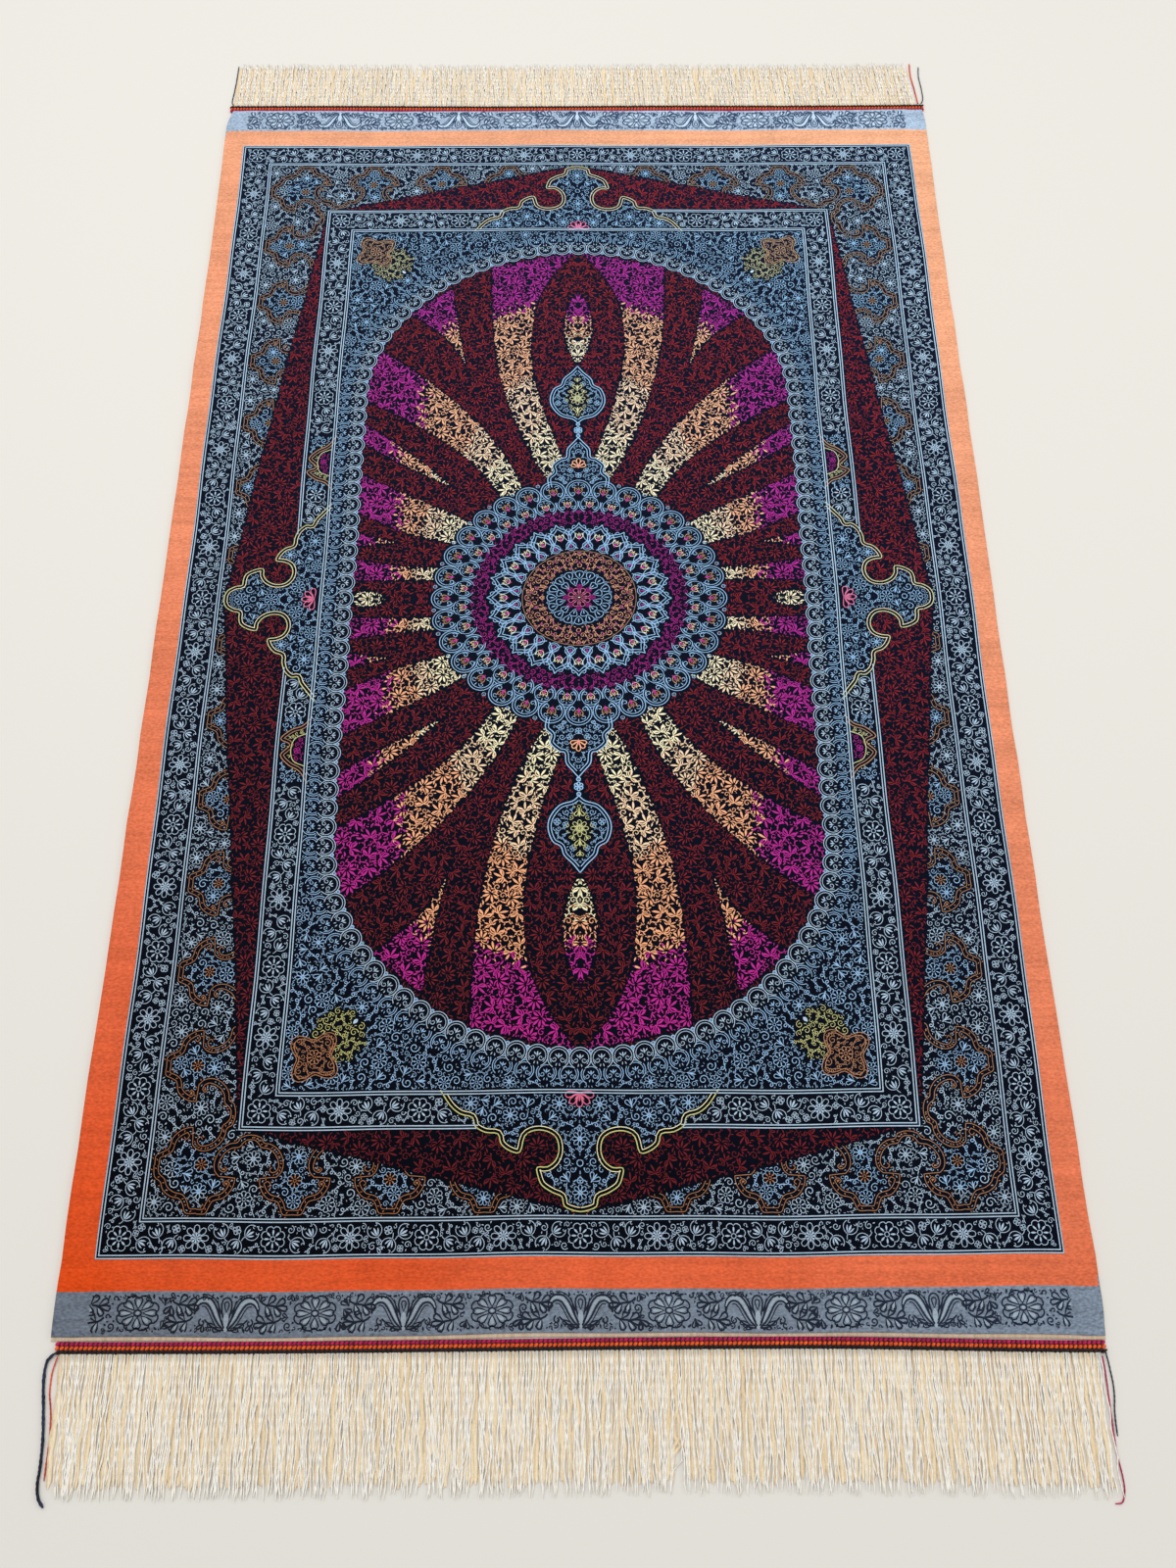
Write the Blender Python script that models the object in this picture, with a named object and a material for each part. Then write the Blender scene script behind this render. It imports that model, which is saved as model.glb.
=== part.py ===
"""A fringed silk rug lying flat: one woven body, three twined rows at each end, two fringes, loose yarn tails.

Metres, +Z up, +X across the width, +Y along the length from the long fringe (near) to the short one (far).
The origin is on the floor, under the middle of the rug with its fringes.
"""

import math
from collections import namedtuple

import bmesh
import bpy
from mathutils import Vector

# Driving dimensions
PILE_HALF_LENGTH = 0.6435
PILE_TOP = 0.0045
PILE_ROUND = 0.0008  # how far the top edge of the pile is worn round
FOUNDATION_TOP = 0.0016
LEDGE_SIDE = 0.0005  # foundation showing beyond the pile, on each side
LEDGE_NEAR = 0.0028  # plain-woven strip at the near end
LEDGE_FAR = 0.0006
CORNER_RUN = 0.024  # length over which a corner is drawn in
CENTRE_SHIFT = Vector((0.0014, 0.0162, 0.0))  # brings the whole outline's middle over the origin

BODY_COLUMNS = 12
BODY_ROWS = 34

ROW_GAP = 0.0003
ROW_HEIGHT = 0.0034
ROW_SIDES = 6
ROW_STATIONS = 26
ROW_LEFT = -0.3970
ROW_RIGHT = 0.3975

COMB_HEIGHT = 0.0024
COMB_HEADING = 0.0040
COMB_TEETH = 58
TOOTH_SHARE = 0.80  # how much of a tooth's pitch is yarn at its root
NEAR_FRINGE = 0.0980
FAR_FRINGE = 0.0700

EdgeStation = namedtuple("EdgeStation", "along left right")
EDGE_STATIONS = (
    EdgeStation(-0.6435, -0.4042, 0.4016),
    EdgeStation(-0.5000, -0.4036, 0.3998),
    EdgeStation(-0.3000, -0.4014, 0.3976),
    EdgeStation(-0.1000, -0.4000, 0.3970),
    EdgeStation(0.1500, -0.3994, 0.3982),
    EdgeStation(0.4500, -0.3990, 0.3976),
    EdgeStation(0.6435, -0.4006, 0.3990),
)

TwinedRow = namedtuple("TwinedRow", "name offset width colour")
TWINED_ROWS = (
    TwinedRow("magenta", 0.0000, 0.0027, (0.36, 0.03, 0.13)),
    TwinedRow("orange", 0.0030, 0.0027, (0.80, 0.24, 0.05)),
    TwinedRow("black", 0.0060, 0.0031, (0.015, 0.013, 0.012)),
)

Tail = namedtuple("Tail", "name diameter colour route")
BLACK_YARN = (0.02, 0.02, 0.03)
RED_YARN = (0.62, 0.08, 0.05)
TAIL_CLEARANCE = 0.00005  # keeps a tail's underside just off the floor
TAILS = (
    Tail(
        "tail_near_left_navy",
        0.0028,
        (0.02, 0.025, 0.06),
        (
            (-0.4000, -0.6550, 0.0022),
            (-0.4046, -0.6610, 0.0018),
            (-0.4050, -0.6740, 0.0014),
            (-0.4022, -0.6920, 0.0014),
            (-0.3994, -0.7120, 0.0014),
            (-0.3984, -0.7300, 0.0014),
            (-0.3986, -0.7420, 0.0014),
            (-0.3966, -0.7510, 0.0014),
            (-0.3922, -0.7570, 0.0014),
        ),
    ),
    Tail(
        "tail_near_left_orange",
        0.0014,
        (0.72, 0.16, 0.07),
        (
            (-0.3968, -0.6568, 0.0020),
            (-0.3996, -0.6680, 0.0009),
            (-0.3994, -0.6820, 0.0007),
            (-0.3966, -0.6950, 0.0007),
            (-0.3948, -0.7120, 0.0007),
            (-0.3946, -0.7280, 0.0007),
            (-0.3945, -0.7400, 0.0007),
        ),
    ),
    Tail(
        "tail_near_right_black",
        0.0014,
        BLACK_YARN,
        (
            (0.3988, -0.6582, 0.0022),
            (0.4006, -0.6690, 0.0008),
            (0.4014, -0.6840, 0.0007),
            (0.3994, -0.7000, 0.0007),
            (0.3990, -0.7150, 0.0007),
        ),
    ),
    Tail(
        "tail_near_right_pink",
        0.0014,
        (0.66, 0.07, 0.18),
        (
            (0.3958, -0.6606, 0.0020),
            (0.3968, -0.6720, 0.0008),
            (0.3966, -0.7000, 0.0007),
            (0.3966, -0.7250, 0.0007),
            (0.3982, -0.7400, 0.0007),
            (0.3984, -0.7500, 0.0007),
            (0.3956, -0.7580, 0.0007),
            (0.3902, -0.7590, 0.0007),
        ),
    ),
    Tail(
        "tail_far_left_black",
        0.0014,
        BLACK_YARN,
        (
            (-0.3966, 0.6552, 0.0022),
            (-0.3992, 0.6620, 0.0010),
            (-0.3984, 0.6780, 0.0007),
            (-0.3976, 0.6960, 0.0007),
            (-0.3972, 0.7200, 0.0007),
        ),
    ),
    Tail(
        "tail_far_right_black",
        0.0014,
        BLACK_YARN,
        (
            (0.3974, 0.6554, 0.0022),
            (0.4008, 0.6650, 0.0009),
            (0.4008, 0.6820, 0.0007),
            (0.3996, 0.7010, 0.0007),
            (0.4010, 0.7170, 0.0007),
        ),
    ),
    Tail(
        "tail_far_right_red",
        0.0018,
        RED_YARN,
        (
            (0.3938, 0.6558, 0.0022),
            (0.3936, 0.6650, 0.0011),
            (0.3922, 0.6820, 0.0009),
            (0.3902, 0.7020, 0.0009),
            (0.3908, 0.7220, 0.0009),
        ),
    ),
)


def material(name, colour, roughness):
    """A plain cloth finish."""
    made = bpy.data.materials.new(name)
    made.use_nodes = True
    shader = made.node_tree.nodes["Principled BSDF"]
    shader.inputs["Base Color"].default_value = (*colour, 1.0)
    shader.inputs["Roughness"].default_value = roughness
    shader.inputs["Metallic"].default_value = 0.0
    return made


def object_from(bm, name, finish):
    """Turns a bmesh into a named object with outward faces."""
    bmesh.ops.recalc_face_normals(bm, faces=bm.faces)
    mesh = bpy.data.meshes.new(name)
    bm.to_mesh(mesh)
    bm.free()
    mesh.materials.append(finish)
    made = bpy.data.objects.new(name, mesh)
    bpy.context.scene.collection.objects.link(made)
    return made


def smooth_step(value):
    value = min(max(value, 0.0), 1.0)
    return value * value * (3.0 - 2.0 * value)


def side_edges(along):
    """The pile's left and right edge at a place along the rug, with a fine unevenness and drawn-in corners."""
    along = min(max(along, -PILE_HALF_LENGTH), PILE_HALF_LENGTH)
    for low, high in zip(EDGE_STATIONS, EDGE_STATIONS[1:]):
        if along <= high.along:
            share = smooth_step((along - low.along) / (high.along - low.along))
            left = low.left + share * (high.left - low.left)
            right = low.right + share * (high.right - low.right)
            break
    ripple = 0.0003 * math.sin(61.0 * along) + 0.0002 * math.sin(149.0 * along + 0.8)
    far_left = corner_inset(PILE_HALF_LENGTH - along, 0.0045)
    far_right = corner_inset(PILE_HALF_LENGTH - along, 0.0025)
    near = corner_inset(PILE_HALF_LENGTH + along, 0.0012)
    return left + ripple + far_left + near, right + ripple - far_right - near


def corner_inset(distance, depth):
    """How far a corner draws in, at this distance from the end."""
    share = max(0.0, 1.0 - distance / CORNER_RUN)
    return depth * share * share


def near_bow(across):
    """How far the near end strays outward from straight, across the rug."""
    return 0.0007 * math.cos(9.0 * across + 2.2) + 0.0026 * smooth_step((across - 0.16) / 0.24)


def far_bow(across):
    """How far the far end strays outward from straight, across the rug."""
    return 0.0010 * (abs(across) / 0.38) ** 2 - 0.0005 + 0.0004 * math.sin(17.0 * across)


def body_point(column, row, side_grow, near_grow, far_grow, height):
    """A point of the body's net: share across and share along, with the outline grown on each side."""
    along = -PILE_HALF_LENGTH + 2.0 * PILE_HALF_LENGTH * row
    left, right = side_edges(along)
    left -= side_grow
    right += side_grow
    across = left + (right - left) * column
    near = -PILE_HALF_LENGTH - near_bow(across) - near_grow
    far = PILE_HALF_LENGTH + far_bow(across) + far_grow
    return Vector((across, near + (far - near) * row, height)) + CENTRE_SHIFT


def net_shares(count):
    return [step / count for step in range(count + 1)]


def rim_keys():
    """The net's outer points in order round the body."""
    bottom = [(column, 0) for column in range(BODY_COLUMNS)]
    right = [(BODY_COLUMNS, row) for row in range(BODY_ROWS)]
    top = [(column, BODY_ROWS) for column in range(BODY_COLUMNS, 0, -1)]
    left = [(0, row) for row in range(BODY_ROWS, 0, -1)]
    return bottom + right + top + left


def build_body():
    """The woven body: a foundation with the pile standing on it, one closed solid."""
    bm = bmesh.new()
    columns, rows = net_shares(BODY_COLUMNS), net_shares(BODY_ROWS)

    def net(side_grow, near_grow, far_grow, height):
        made = {}
        for i, column in enumerate(columns):
            for j, row in enumerate(rows):
                made[i, j] = bm.verts.new(
                    body_point(column, row, side_grow, near_grow, far_grow, height)
                )
        return made

    def rim(side_grow, near_grow, far_grow, height):
        return {
            (i, j): bm.verts.new(
                body_point(columns[i], rows[j], side_grow, near_grow, far_grow, height)
            )
            for i, j in rim_keys()
        }

    ledge = (LEDGE_SIDE, LEDGE_NEAR, LEDGE_FAR)
    underside = net(*ledge, 0.0)
    foundation = rim(*ledge, FOUNDATION_TOP)
    pile_foot = rim(0.0, 0.0, 0.0, FOUNDATION_TOP)
    pile_edge = rim(0.0, 0.0, 0.0, PILE_TOP - PILE_ROUND)
    pile_face = net(-PILE_ROUND, -PILE_ROUND, -PILE_ROUND, PILE_TOP)
    for face_net in (underside, pile_face):
        for i in range(BODY_COLUMNS):
            for j in range(BODY_ROWS):
                corners = ((i, j), (i + 1, j), (i + 1, j + 1), (i, j + 1))
                bm.faces.new([face_net[key] for key in corners])
    keys = rim_keys()
    levels = (underside, foundation, pile_foot, pile_edge, pile_face)
    for lower, upper in zip(levels, levels[1:]):
        for key, following in zip(keys, keys[1:] + keys[:1]):
            bm.faces.new([lower[key], lower[following], upper[following], upper[key]])
    return object_from(bm, "rug_body", material("pile_silk", (0.045, 0.055, 0.10), 0.62))


def row_middle(end, across, outward):
    """The middle line of a twined row: it follows the end of the body at its distance outward."""
    if end < 0:
        return -(PILE_HALF_LENGTH + near_bow(across) + LEDGE_NEAR + ROW_GAP + outward)
    return PILE_HALF_LENGTH + far_bow(across) + LEDGE_FAR + ROW_GAP + outward


def build_row(end, row):
    """One twined row: a six-sided bar along the end of the body."""
    bm = bmesh.new()
    rings = []
    for step in range(ROW_STATIONS + 1):
        across = ROW_LEFT + (ROW_RIGHT - ROW_LEFT) * step / ROW_STATIONS
        middle = row_middle(end, across, row.offset + row.width / 2)
        ring = []
        for side in range(ROW_SIDES):
            angle = 2.0 * math.pi * (side + 0.5) / ROW_SIDES
            reach = math.cos(math.pi / ROW_SIDES)
            along = middle + 0.5 * row.width * math.sin(angle)
            height = 0.5 * ROW_HEIGHT * (1.0 + math.cos(angle) / reach)
            ring.append(bm.verts.new(Vector((across, along, height)) + CENTRE_SHIFT))
        rings.append(ring)
    for first, second in zip(rings, rings[1:]):
        for side in range(ROW_SIDES):
            after = (side + 1) % ROW_SIDES
            bm.faces.new([first[side], first[after], second[after], second[side]])
    bm.faces.new(rings[0])
    bm.faces.new(rings[-1])
    name = f"twine_{'near' if end < 0 else 'far'}_{row.name}"
    return object_from(bm, name, material(name, row.colour, 0.7))


Comb = namedtuple("Comb", "name end length root_left root_right tip_left tip_right")
COMBS = (
    Comb("fringe_near", -1, NEAR_FRINGE, -0.3935, 0.3945, -0.3915, 0.3940),
    Comb("fringe_far", 1, FAR_FRINGE, -0.3945, 0.3915, -0.3950, 0.3870),
)


def build_comb(comb):
    """A fringe as one comb: a heading along the last row, and teeth of uneven length."""
    outward = TWINED_ROWS[-1].offset + TWINED_ROWS[-1].width + ROW_GAP
    pitch = (comb.root_right - comb.root_left) / COMB_TEETH
    spread = (comb.tip_right - comb.tip_left) / (comb.root_right - comb.root_left)

    def root(across):
        return row_middle(comb.end, across, outward)

    def tip_across(across):
        return comb.tip_left + (across - comb.root_left) * spread

    heading = []
    teeth = []
    for tooth in range(COMB_TEETH):
        left = comb.root_left + pitch * tooth
        right = left + pitch * (1.0 if tooth == COMB_TEETH - 1 else TOOTH_SHARE)
        sway = 0.0012 * math.sin(0.9 * tooth) + 0.0008 * math.sin(2.3 * tooth + 1.0)
        sway *= min(1.0, tooth / 3.0, (COMB_TEETH - 1 - tooth) / 3.0)
        cut = comb.length * (1.0 - 0.022 * (1.0 + math.sin(1.7 * tooth)) / 2.0)
        tip = comb.end * cut
        heading.append((left, root(left)))
        teeth.append((left, root(left) + comb.end * COMB_HEADING))
        teeth.append((tip_across(left) + sway + 0.1 * pitch, root(left) + tip))
        teeth.append((tip_across(right) + sway - 0.1 * pitch, root(right) + tip))
        teeth.append((right, root(right) + comb.end * COMB_HEADING))
    heading.append((comb.root_right, root(comb.root_right)))
    outline = heading[::-1] + teeth
    bm = bmesh.new()
    flat = [bm.verts.new(Vector((x, y, 0.0)) + CENTRE_SHIFT) for x, y in outline]
    face = bm.faces.new(flat)
    made = bmesh.ops.extrude_face_region(bm, geom=[face])
    lifted = [item for item in made["geom"] if isinstance(item, bmesh.types.BMVert)]
    bmesh.ops.translate(bm, vec=(0.0, 0.0, COMB_HEIGHT), verts=lifted)
    return object_from(bm, comb.name, material(comb.name, (0.83, 0.75, 0.60), 0.75))


def smooth_route(points, diameter):
    """Points at an even spacing along a Catmull-Rom curve through the route's own points."""
    ends = [2 * points[0] - points[1], *points, 2 * points[-1] - points[-2]]
    fine = []
    for before, start, finish, after in zip(ends, ends[1:], ends[2:], ends[3:]):
        for step in range(12):
            t = step / 12
            fine.append(
                0.5
                * (
                    2 * start
                    + (finish - before) * t
                    + (2 * before - 5 * start + 4 * finish - after) * t**2
                    + (3 * start - before - 3 * finish + after) * t**3
                )
            )
    fine.append(points[-1])
    lengths = [0.0]
    for first, second in zip(fine, fine[1:]):
        lengths.append(lengths[-1] + (second - first).length)
    count = max(4, round(lengths[-1] / (2.8 * diameter)))
    even, index = [], 0
    for step in range(count + 1):
        wanted = lengths[-1] * step / count
        while index < len(lengths) - 2 and lengths[index + 1] < wanted:
            index += 1
        share = (wanted - lengths[index]) / (lengths[index + 1] - lengths[index])
        point = fine[index].lerp(fine[index + 1], share)
        point.z = max(point.z, diameter / 2 + TAIL_CLEARANCE)
        even.append(point)
    return even


def build_tail(tail):
    """A loose yarn tail lying on the floor, as a tube with closed ends."""
    route = [Vector(point) + CENTRE_SHIFT for point in tail.route]
    curve = bpy.data.curves.new(tail.name, "CURVE")
    curve.dimensions = "3D"
    curve.bevel_depth = tail.diameter / 2
    curve.bevel_resolution = 2
    curve.use_fill_caps = True
    points = smooth_route(route, tail.diameter)
    spline = curve.splines.new("POLY")
    spline.points.add(len(points) - 1)
    for place, point in zip(spline.points, points):
        place.co = (*point, 1.0)
    curve.materials.append(material(tail.name, tail.colour, 0.7))
    made = bpy.data.objects.new(tail.name, curve)
    bpy.context.scene.collection.objects.link(made)
    return made


def main():
    for existing in list(bpy.data.objects):
        bpy.data.objects.remove(existing, do_unlink=True)
    build_body()
    for end in (-1, 1):
        for row in TWINED_ROWS:
            build_row(end, row)
    for comb in COMBS:
        build_comb(comb)
    for tail in TAILS:
        build_tail(tail)


main()
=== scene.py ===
"""A small silk Persian rug lying flat: figured pile, twined end rows, fringes and loose yarn tails.

The design is worked out in millimetres from the middle of the field, over one quarter, and mirrored.
"""

import logging
import math
from dataclasses import dataclass, field
from enum import IntEnum
from functools import cache
from typing import Callable, Iterable, Sequence

import bpy
import numpy as np
from mathutils import Matrix, Vector


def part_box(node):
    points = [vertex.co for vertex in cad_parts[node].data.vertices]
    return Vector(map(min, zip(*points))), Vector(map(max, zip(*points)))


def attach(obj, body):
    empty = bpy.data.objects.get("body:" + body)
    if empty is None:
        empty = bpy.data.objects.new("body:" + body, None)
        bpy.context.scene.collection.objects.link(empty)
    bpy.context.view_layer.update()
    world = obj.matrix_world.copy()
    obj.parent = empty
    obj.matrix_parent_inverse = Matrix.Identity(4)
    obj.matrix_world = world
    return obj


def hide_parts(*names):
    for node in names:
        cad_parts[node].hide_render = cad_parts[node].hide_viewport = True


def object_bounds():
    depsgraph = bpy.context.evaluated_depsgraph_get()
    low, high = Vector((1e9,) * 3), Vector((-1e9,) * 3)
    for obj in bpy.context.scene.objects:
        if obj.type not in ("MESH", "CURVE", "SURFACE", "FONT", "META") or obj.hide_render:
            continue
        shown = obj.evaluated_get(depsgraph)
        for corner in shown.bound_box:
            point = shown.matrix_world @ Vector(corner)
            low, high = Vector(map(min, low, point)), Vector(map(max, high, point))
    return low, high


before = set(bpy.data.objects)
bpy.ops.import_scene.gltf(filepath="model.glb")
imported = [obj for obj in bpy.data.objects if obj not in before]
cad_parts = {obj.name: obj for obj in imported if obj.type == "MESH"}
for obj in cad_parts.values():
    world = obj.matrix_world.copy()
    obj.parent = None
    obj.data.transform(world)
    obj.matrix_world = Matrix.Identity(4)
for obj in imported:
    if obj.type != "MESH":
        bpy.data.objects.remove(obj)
CAD_BOX = [list(corner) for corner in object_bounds()]
LOG = logging.getLogger("rug")
CHANCE = np.random.default_rng(7)  # what is left to chance in the design

MM = 0.001
PILE_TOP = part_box("rug_body")[1].z
CENTRE = Vector((0.0014, 0.0162, 0.0))  # the middle of the design, from the middle of the whole outline

Object = bpy.types.Object
Material = bpy.types.Material
Tree = bpy.types.NodeTree
Socket = bpy.types.NodeSocket
Points = np.ndarray  # rows of places, or any other table of numbers
Zone = Callable[[Points, Points], Points]  # tells for each place whether ink may go there
Colour = tuple[int, int, int]
# the yarns of the design
Tone = IntEnum("Tone", "BLUE CRIMSON MAGENTA PEACH SAND CREAM GOLD LIME PINK NAVY SILVER PALE")


# Drawing: every mark is a strip, a centre line with a half-width at each point


@dataclass(frozen=True)
class Strip:
    """One brush mark."""

    line: Points
    half: Points
    tone: Tone | None = None


def pairs(first: Points, second: Points) -> Points:
    """Two columns side by side."""
    return np.stack([first, second], axis=1)


def arc(x: float, y: float, radius: float, start: float, stop: float, count: int = 9) -> Points:
    """Points on a circular arc, with its angles in degrees."""
    angles = np.radians(np.linspace(start, stop, count))
    return pairs(x + radius * np.cos(angles), y + radius * np.sin(angles))


def bezier(start: Sequence, leave: Sequence, arrive: Sequence, stop: Sequence, count: int = 9) -> Points:
    """Points on a cubic curve from start to stop, by way of its two handles."""
    t = np.linspace(0.0, 1.0, count)[:, None]
    a, b, c, d = (np.asarray(point, float) for point in (start, leave, arrive, stop))
    return (1 - t) ** 3 * a + 3 * (1 - t) ** 2 * t * b + 3 * (1 - t) * t**2 * c + t**3 * d


def curl_line(
    x: float, y: float, radius: float, start: float, turns: float, end: float, count: int
) -> Points:
    """Points on a curl that winds in from radius to end times radius."""
    t = np.linspace(0.0, 1.0, count)
    angles = math.radians(start) + 2 * math.pi * turns * t
    reach = radius * (1 - (1 - end) * t**0.85)
    return pairs(x + reach * np.cos(angles), y + reach * np.sin(angles))


def smooth(points: Sequence, per_span: int = 4) -> Points:
    """A smooth curve through some points.

    Args:
        points: what it passes through, in two or three dimensions.
        per_span: how many points it has for each given one.

    Returns:
        Points on a Catmull-Rom curve.
    """
    given = np.asarray(points, float)
    given = np.concatenate([2 * given[:1] - given[1:2], given, 2 * given[-1:] - given[-2:-1]])
    t = np.linspace(0.0, 1.0, per_span, endpoint=False)[:, None]
    made = []
    for before, start, stop, after in zip(given, given[1:], given[2:], given[3:]):
        square = (2 * before - 5 * start + 4 * stop - after) * t**2
        cube = (3 * start - before - 3 * stop + after) * t**3
        made.append(0.5 * (2 * start + (stop - before) * t + square + cube))
    return np.concatenate([*made, given[-2:-1]])


def travelled(line: Points) -> Points:
    """The distance gone along a line at each of its points."""
    return np.concatenate([[0.0], np.cumsum(np.linalg.norm(np.diff(line, axis=0), axis=1))])


def straight(start: Sequence, stop: Sequence) -> Points:
    """Points along a straight line, close enough to follow the cloth."""
    return np.linspace(start, stop, max(2, int(math.dist(start, stop) / 9.0) + 1))


def beside(line: Points, distance: float) -> Points:
    """A line moved to its left by a distance."""
    ahead = np.gradient(line, axis=0)
    ahead /= np.maximum(np.hypot(*ahead.T), 1e-9)[:, None]
    return line + distance * pairs(-ahead[:, 1], ahead[:, 0])


def stroke(line: Points, width: float, taper: float = 0.0, tone: Tone | None = None) -> Strip:
    """A line of even width, or one that thins towards its end by the share taper."""
    return Strip(line, 0.5 * width * (1 - taper * np.linspace(0.0, 1.0, len(line)) ** 2), tone)


def petal(x: float, y: float, angle: float, length: float, width: float, bend: float = 0.0,
    tone: Tone | None = None, count: int = 6) -> Strip:
    """A filled petal or leaf, narrow at its foot, fullest past its middle and pointed at its tip.

    Args:
        x, y: where it starts.
        angle: the way it sets off, in degrees.
        length: its length.
        width: its greatest width.
        bend: how many degrees it turns over its length.
        tone: its yarn.
        count: points along it.

    Returns:
        The petal.
    """
    t = np.linspace(0.0, 1.0, count)
    heading = np.radians(angle + bend * t)
    step = length / (count - 1)
    along, up = (np.concatenate([[0.0], np.cumsum(0.5 * (way[1:] + way[:-1])) * step])
        for way in (np.cos(heading), np.sin(heading)))
    return Strip(pairs(x + along, y + up), 0.5 * width * np.sin(math.pi * t**1.25) ** 0.8 + 0.10, tone)


def outline(x: float, y: float, angle: float, length: float, width: float, line: float = 1.0,
    tone: Tone | None = None, count: int = 9, fullness: float = 0.8) -> Strip:
    """The outline of a petal, in one line that starts and ends at its foot.

    Args:
        x, y: its foot.
        angle: the way it points, in degrees.
        length: its length.
        width: its greatest width.
        line: the line's width.
        tone: its yarn.
        count: points along the line.
        fullness: below 1 for a blunt tip, above 1 for a sharp one.

    Returns:
        The outline.
    """
    t = np.linspace(0.0, 1.0, count)
    along = length * np.sin(math.pi * t) ** fullness
    across = 0.5 * width * np.sin(2 * math.pi * t)
    c, s = math.cos(math.radians(angle)), math.sin(math.radians(angle))
    path = pairs(x + along * c - across * s, y + along * s + across * c)
    return Strip(path, np.full(count, line / 2), tone)


def ring(radius: float, line: float = 1.0, count: int = 10) -> Strip:
    """A circle about the origin, in a line of the given width."""
    return Strip(arc(0, 0, radius, 0, 360, count), np.full(count, line / 2))


def dot(x: float, y: float, radius: float, tone: Tone | None = None) -> Strip:
    """A filled round spot."""
    t = np.linspace(-0.96, 0.96, 5)
    return Strip(pairs(x + radius * t, np.full(5, y)), radius * np.sqrt(1 - t**2), tone)


def scallops(radius: float, depth: float, line: float, steps: int = 4) -> Strip:
    """A closed outline of eight round lobes that dips in between them by a depth."""
    angles = np.linspace(0.0, 2 * math.pi, 8 * steps + 1)
    reach = radius - depth * (1 - np.abs(np.sin(4 * angles))) ** 1.5
    return Strip(pairs(reach * np.cos(angles), reach * np.sin(angles)), np.full(len(angles), line / 2))


def turned(strips: Iterable[Strip], angle: float = 0.0, x: float = 0.0, size: float = 1.0,
    flip: bool = False) -> list[Strip]:
    """The strips after a mirror across their x axis, a change of size, a turn and a move along x.

    Args:
        strips: what is moved.
        angle: the turn, in degrees.
        x: the move.
        size: the scale.
        flip: mirror them first.

    Returns:
        The moved strips.
    """
    c, s = math.cos(math.radians(angle)), math.sin(math.radians(angle))
    turn = np.array([[c, -s], [s, c]]) * size
    side = np.array([1.0, -1.0 if flip else 1.0])
    return [Strip((strip.line * side) @ turn.T + (x, 0), strip.half * size, strip.tone) for strip in strips]


def around(strips: Sequence[Strip], count: int, start: float = 0.0) -> list[Strip]:
    """Copies of the strips turned about the origin."""
    return [strip for i in range(count) for strip in turned(strips, start + 360.0 * i / count)]


def mirrored(*strips: Strip) -> list[Strip]:
    """The strips and their mirror image across the x axis."""
    return [*strips, *turned(strips, flip=True)]


@dataclass
class Stamp:
    """A motif as a flat net of quads, ready to be placed many times."""

    radius: float
    corners: Points
    faces: Points
    level: Points
    tones: list[int]

    @staticmethod
    def of(strips: Sequence[Strip], radius: float = 1.0, pen: float = 1.0) -> "Stamp":
        """Turns strips into a net.

        Args:
            strips: the motif's marks.
            radius: the motif's own radius.
            pen: a scaling of every mark's width.

        Returns:
            The stamp. A tone of -1 stands for whatever yarn it is placed in.
        """
        corners, faces, level, tones = [], [], [], []
        for order, strip in enumerate(strips):
            line, n = strip.line, len(strip.line)
            ahead = np.concatenate([line[1:2] - line[:1], line[2:] - line[:-2], line[-1:] - line[-2:-1]])
            if np.hypot(*(line[0] - line[-1])) < 1e-6:
                ahead[0] = ahead[-1] = line[1] - line[-2]
            side = pairs(-ahead[:, 1], ahead[:, 0]) / np.maximum(np.hypot(*ahead.T), 1e-9)[:, None]
            reach = side * strip.half[:, None] * pen
            first = np.arange(n - 1) + len(level)
            corners += [line + reach, line - reach]
            faces.append(np.stack([first, first + n, first + n + 1, first + 1], axis=1))
            level += [order % 6] * (2 * n)
            tones += [-1 if strip.tone is None else int(strip.tone)] * (n - 1)
        return Stamp(radius, np.concatenate(corners), np.concatenate(faces), np.array(level), tones)


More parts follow.
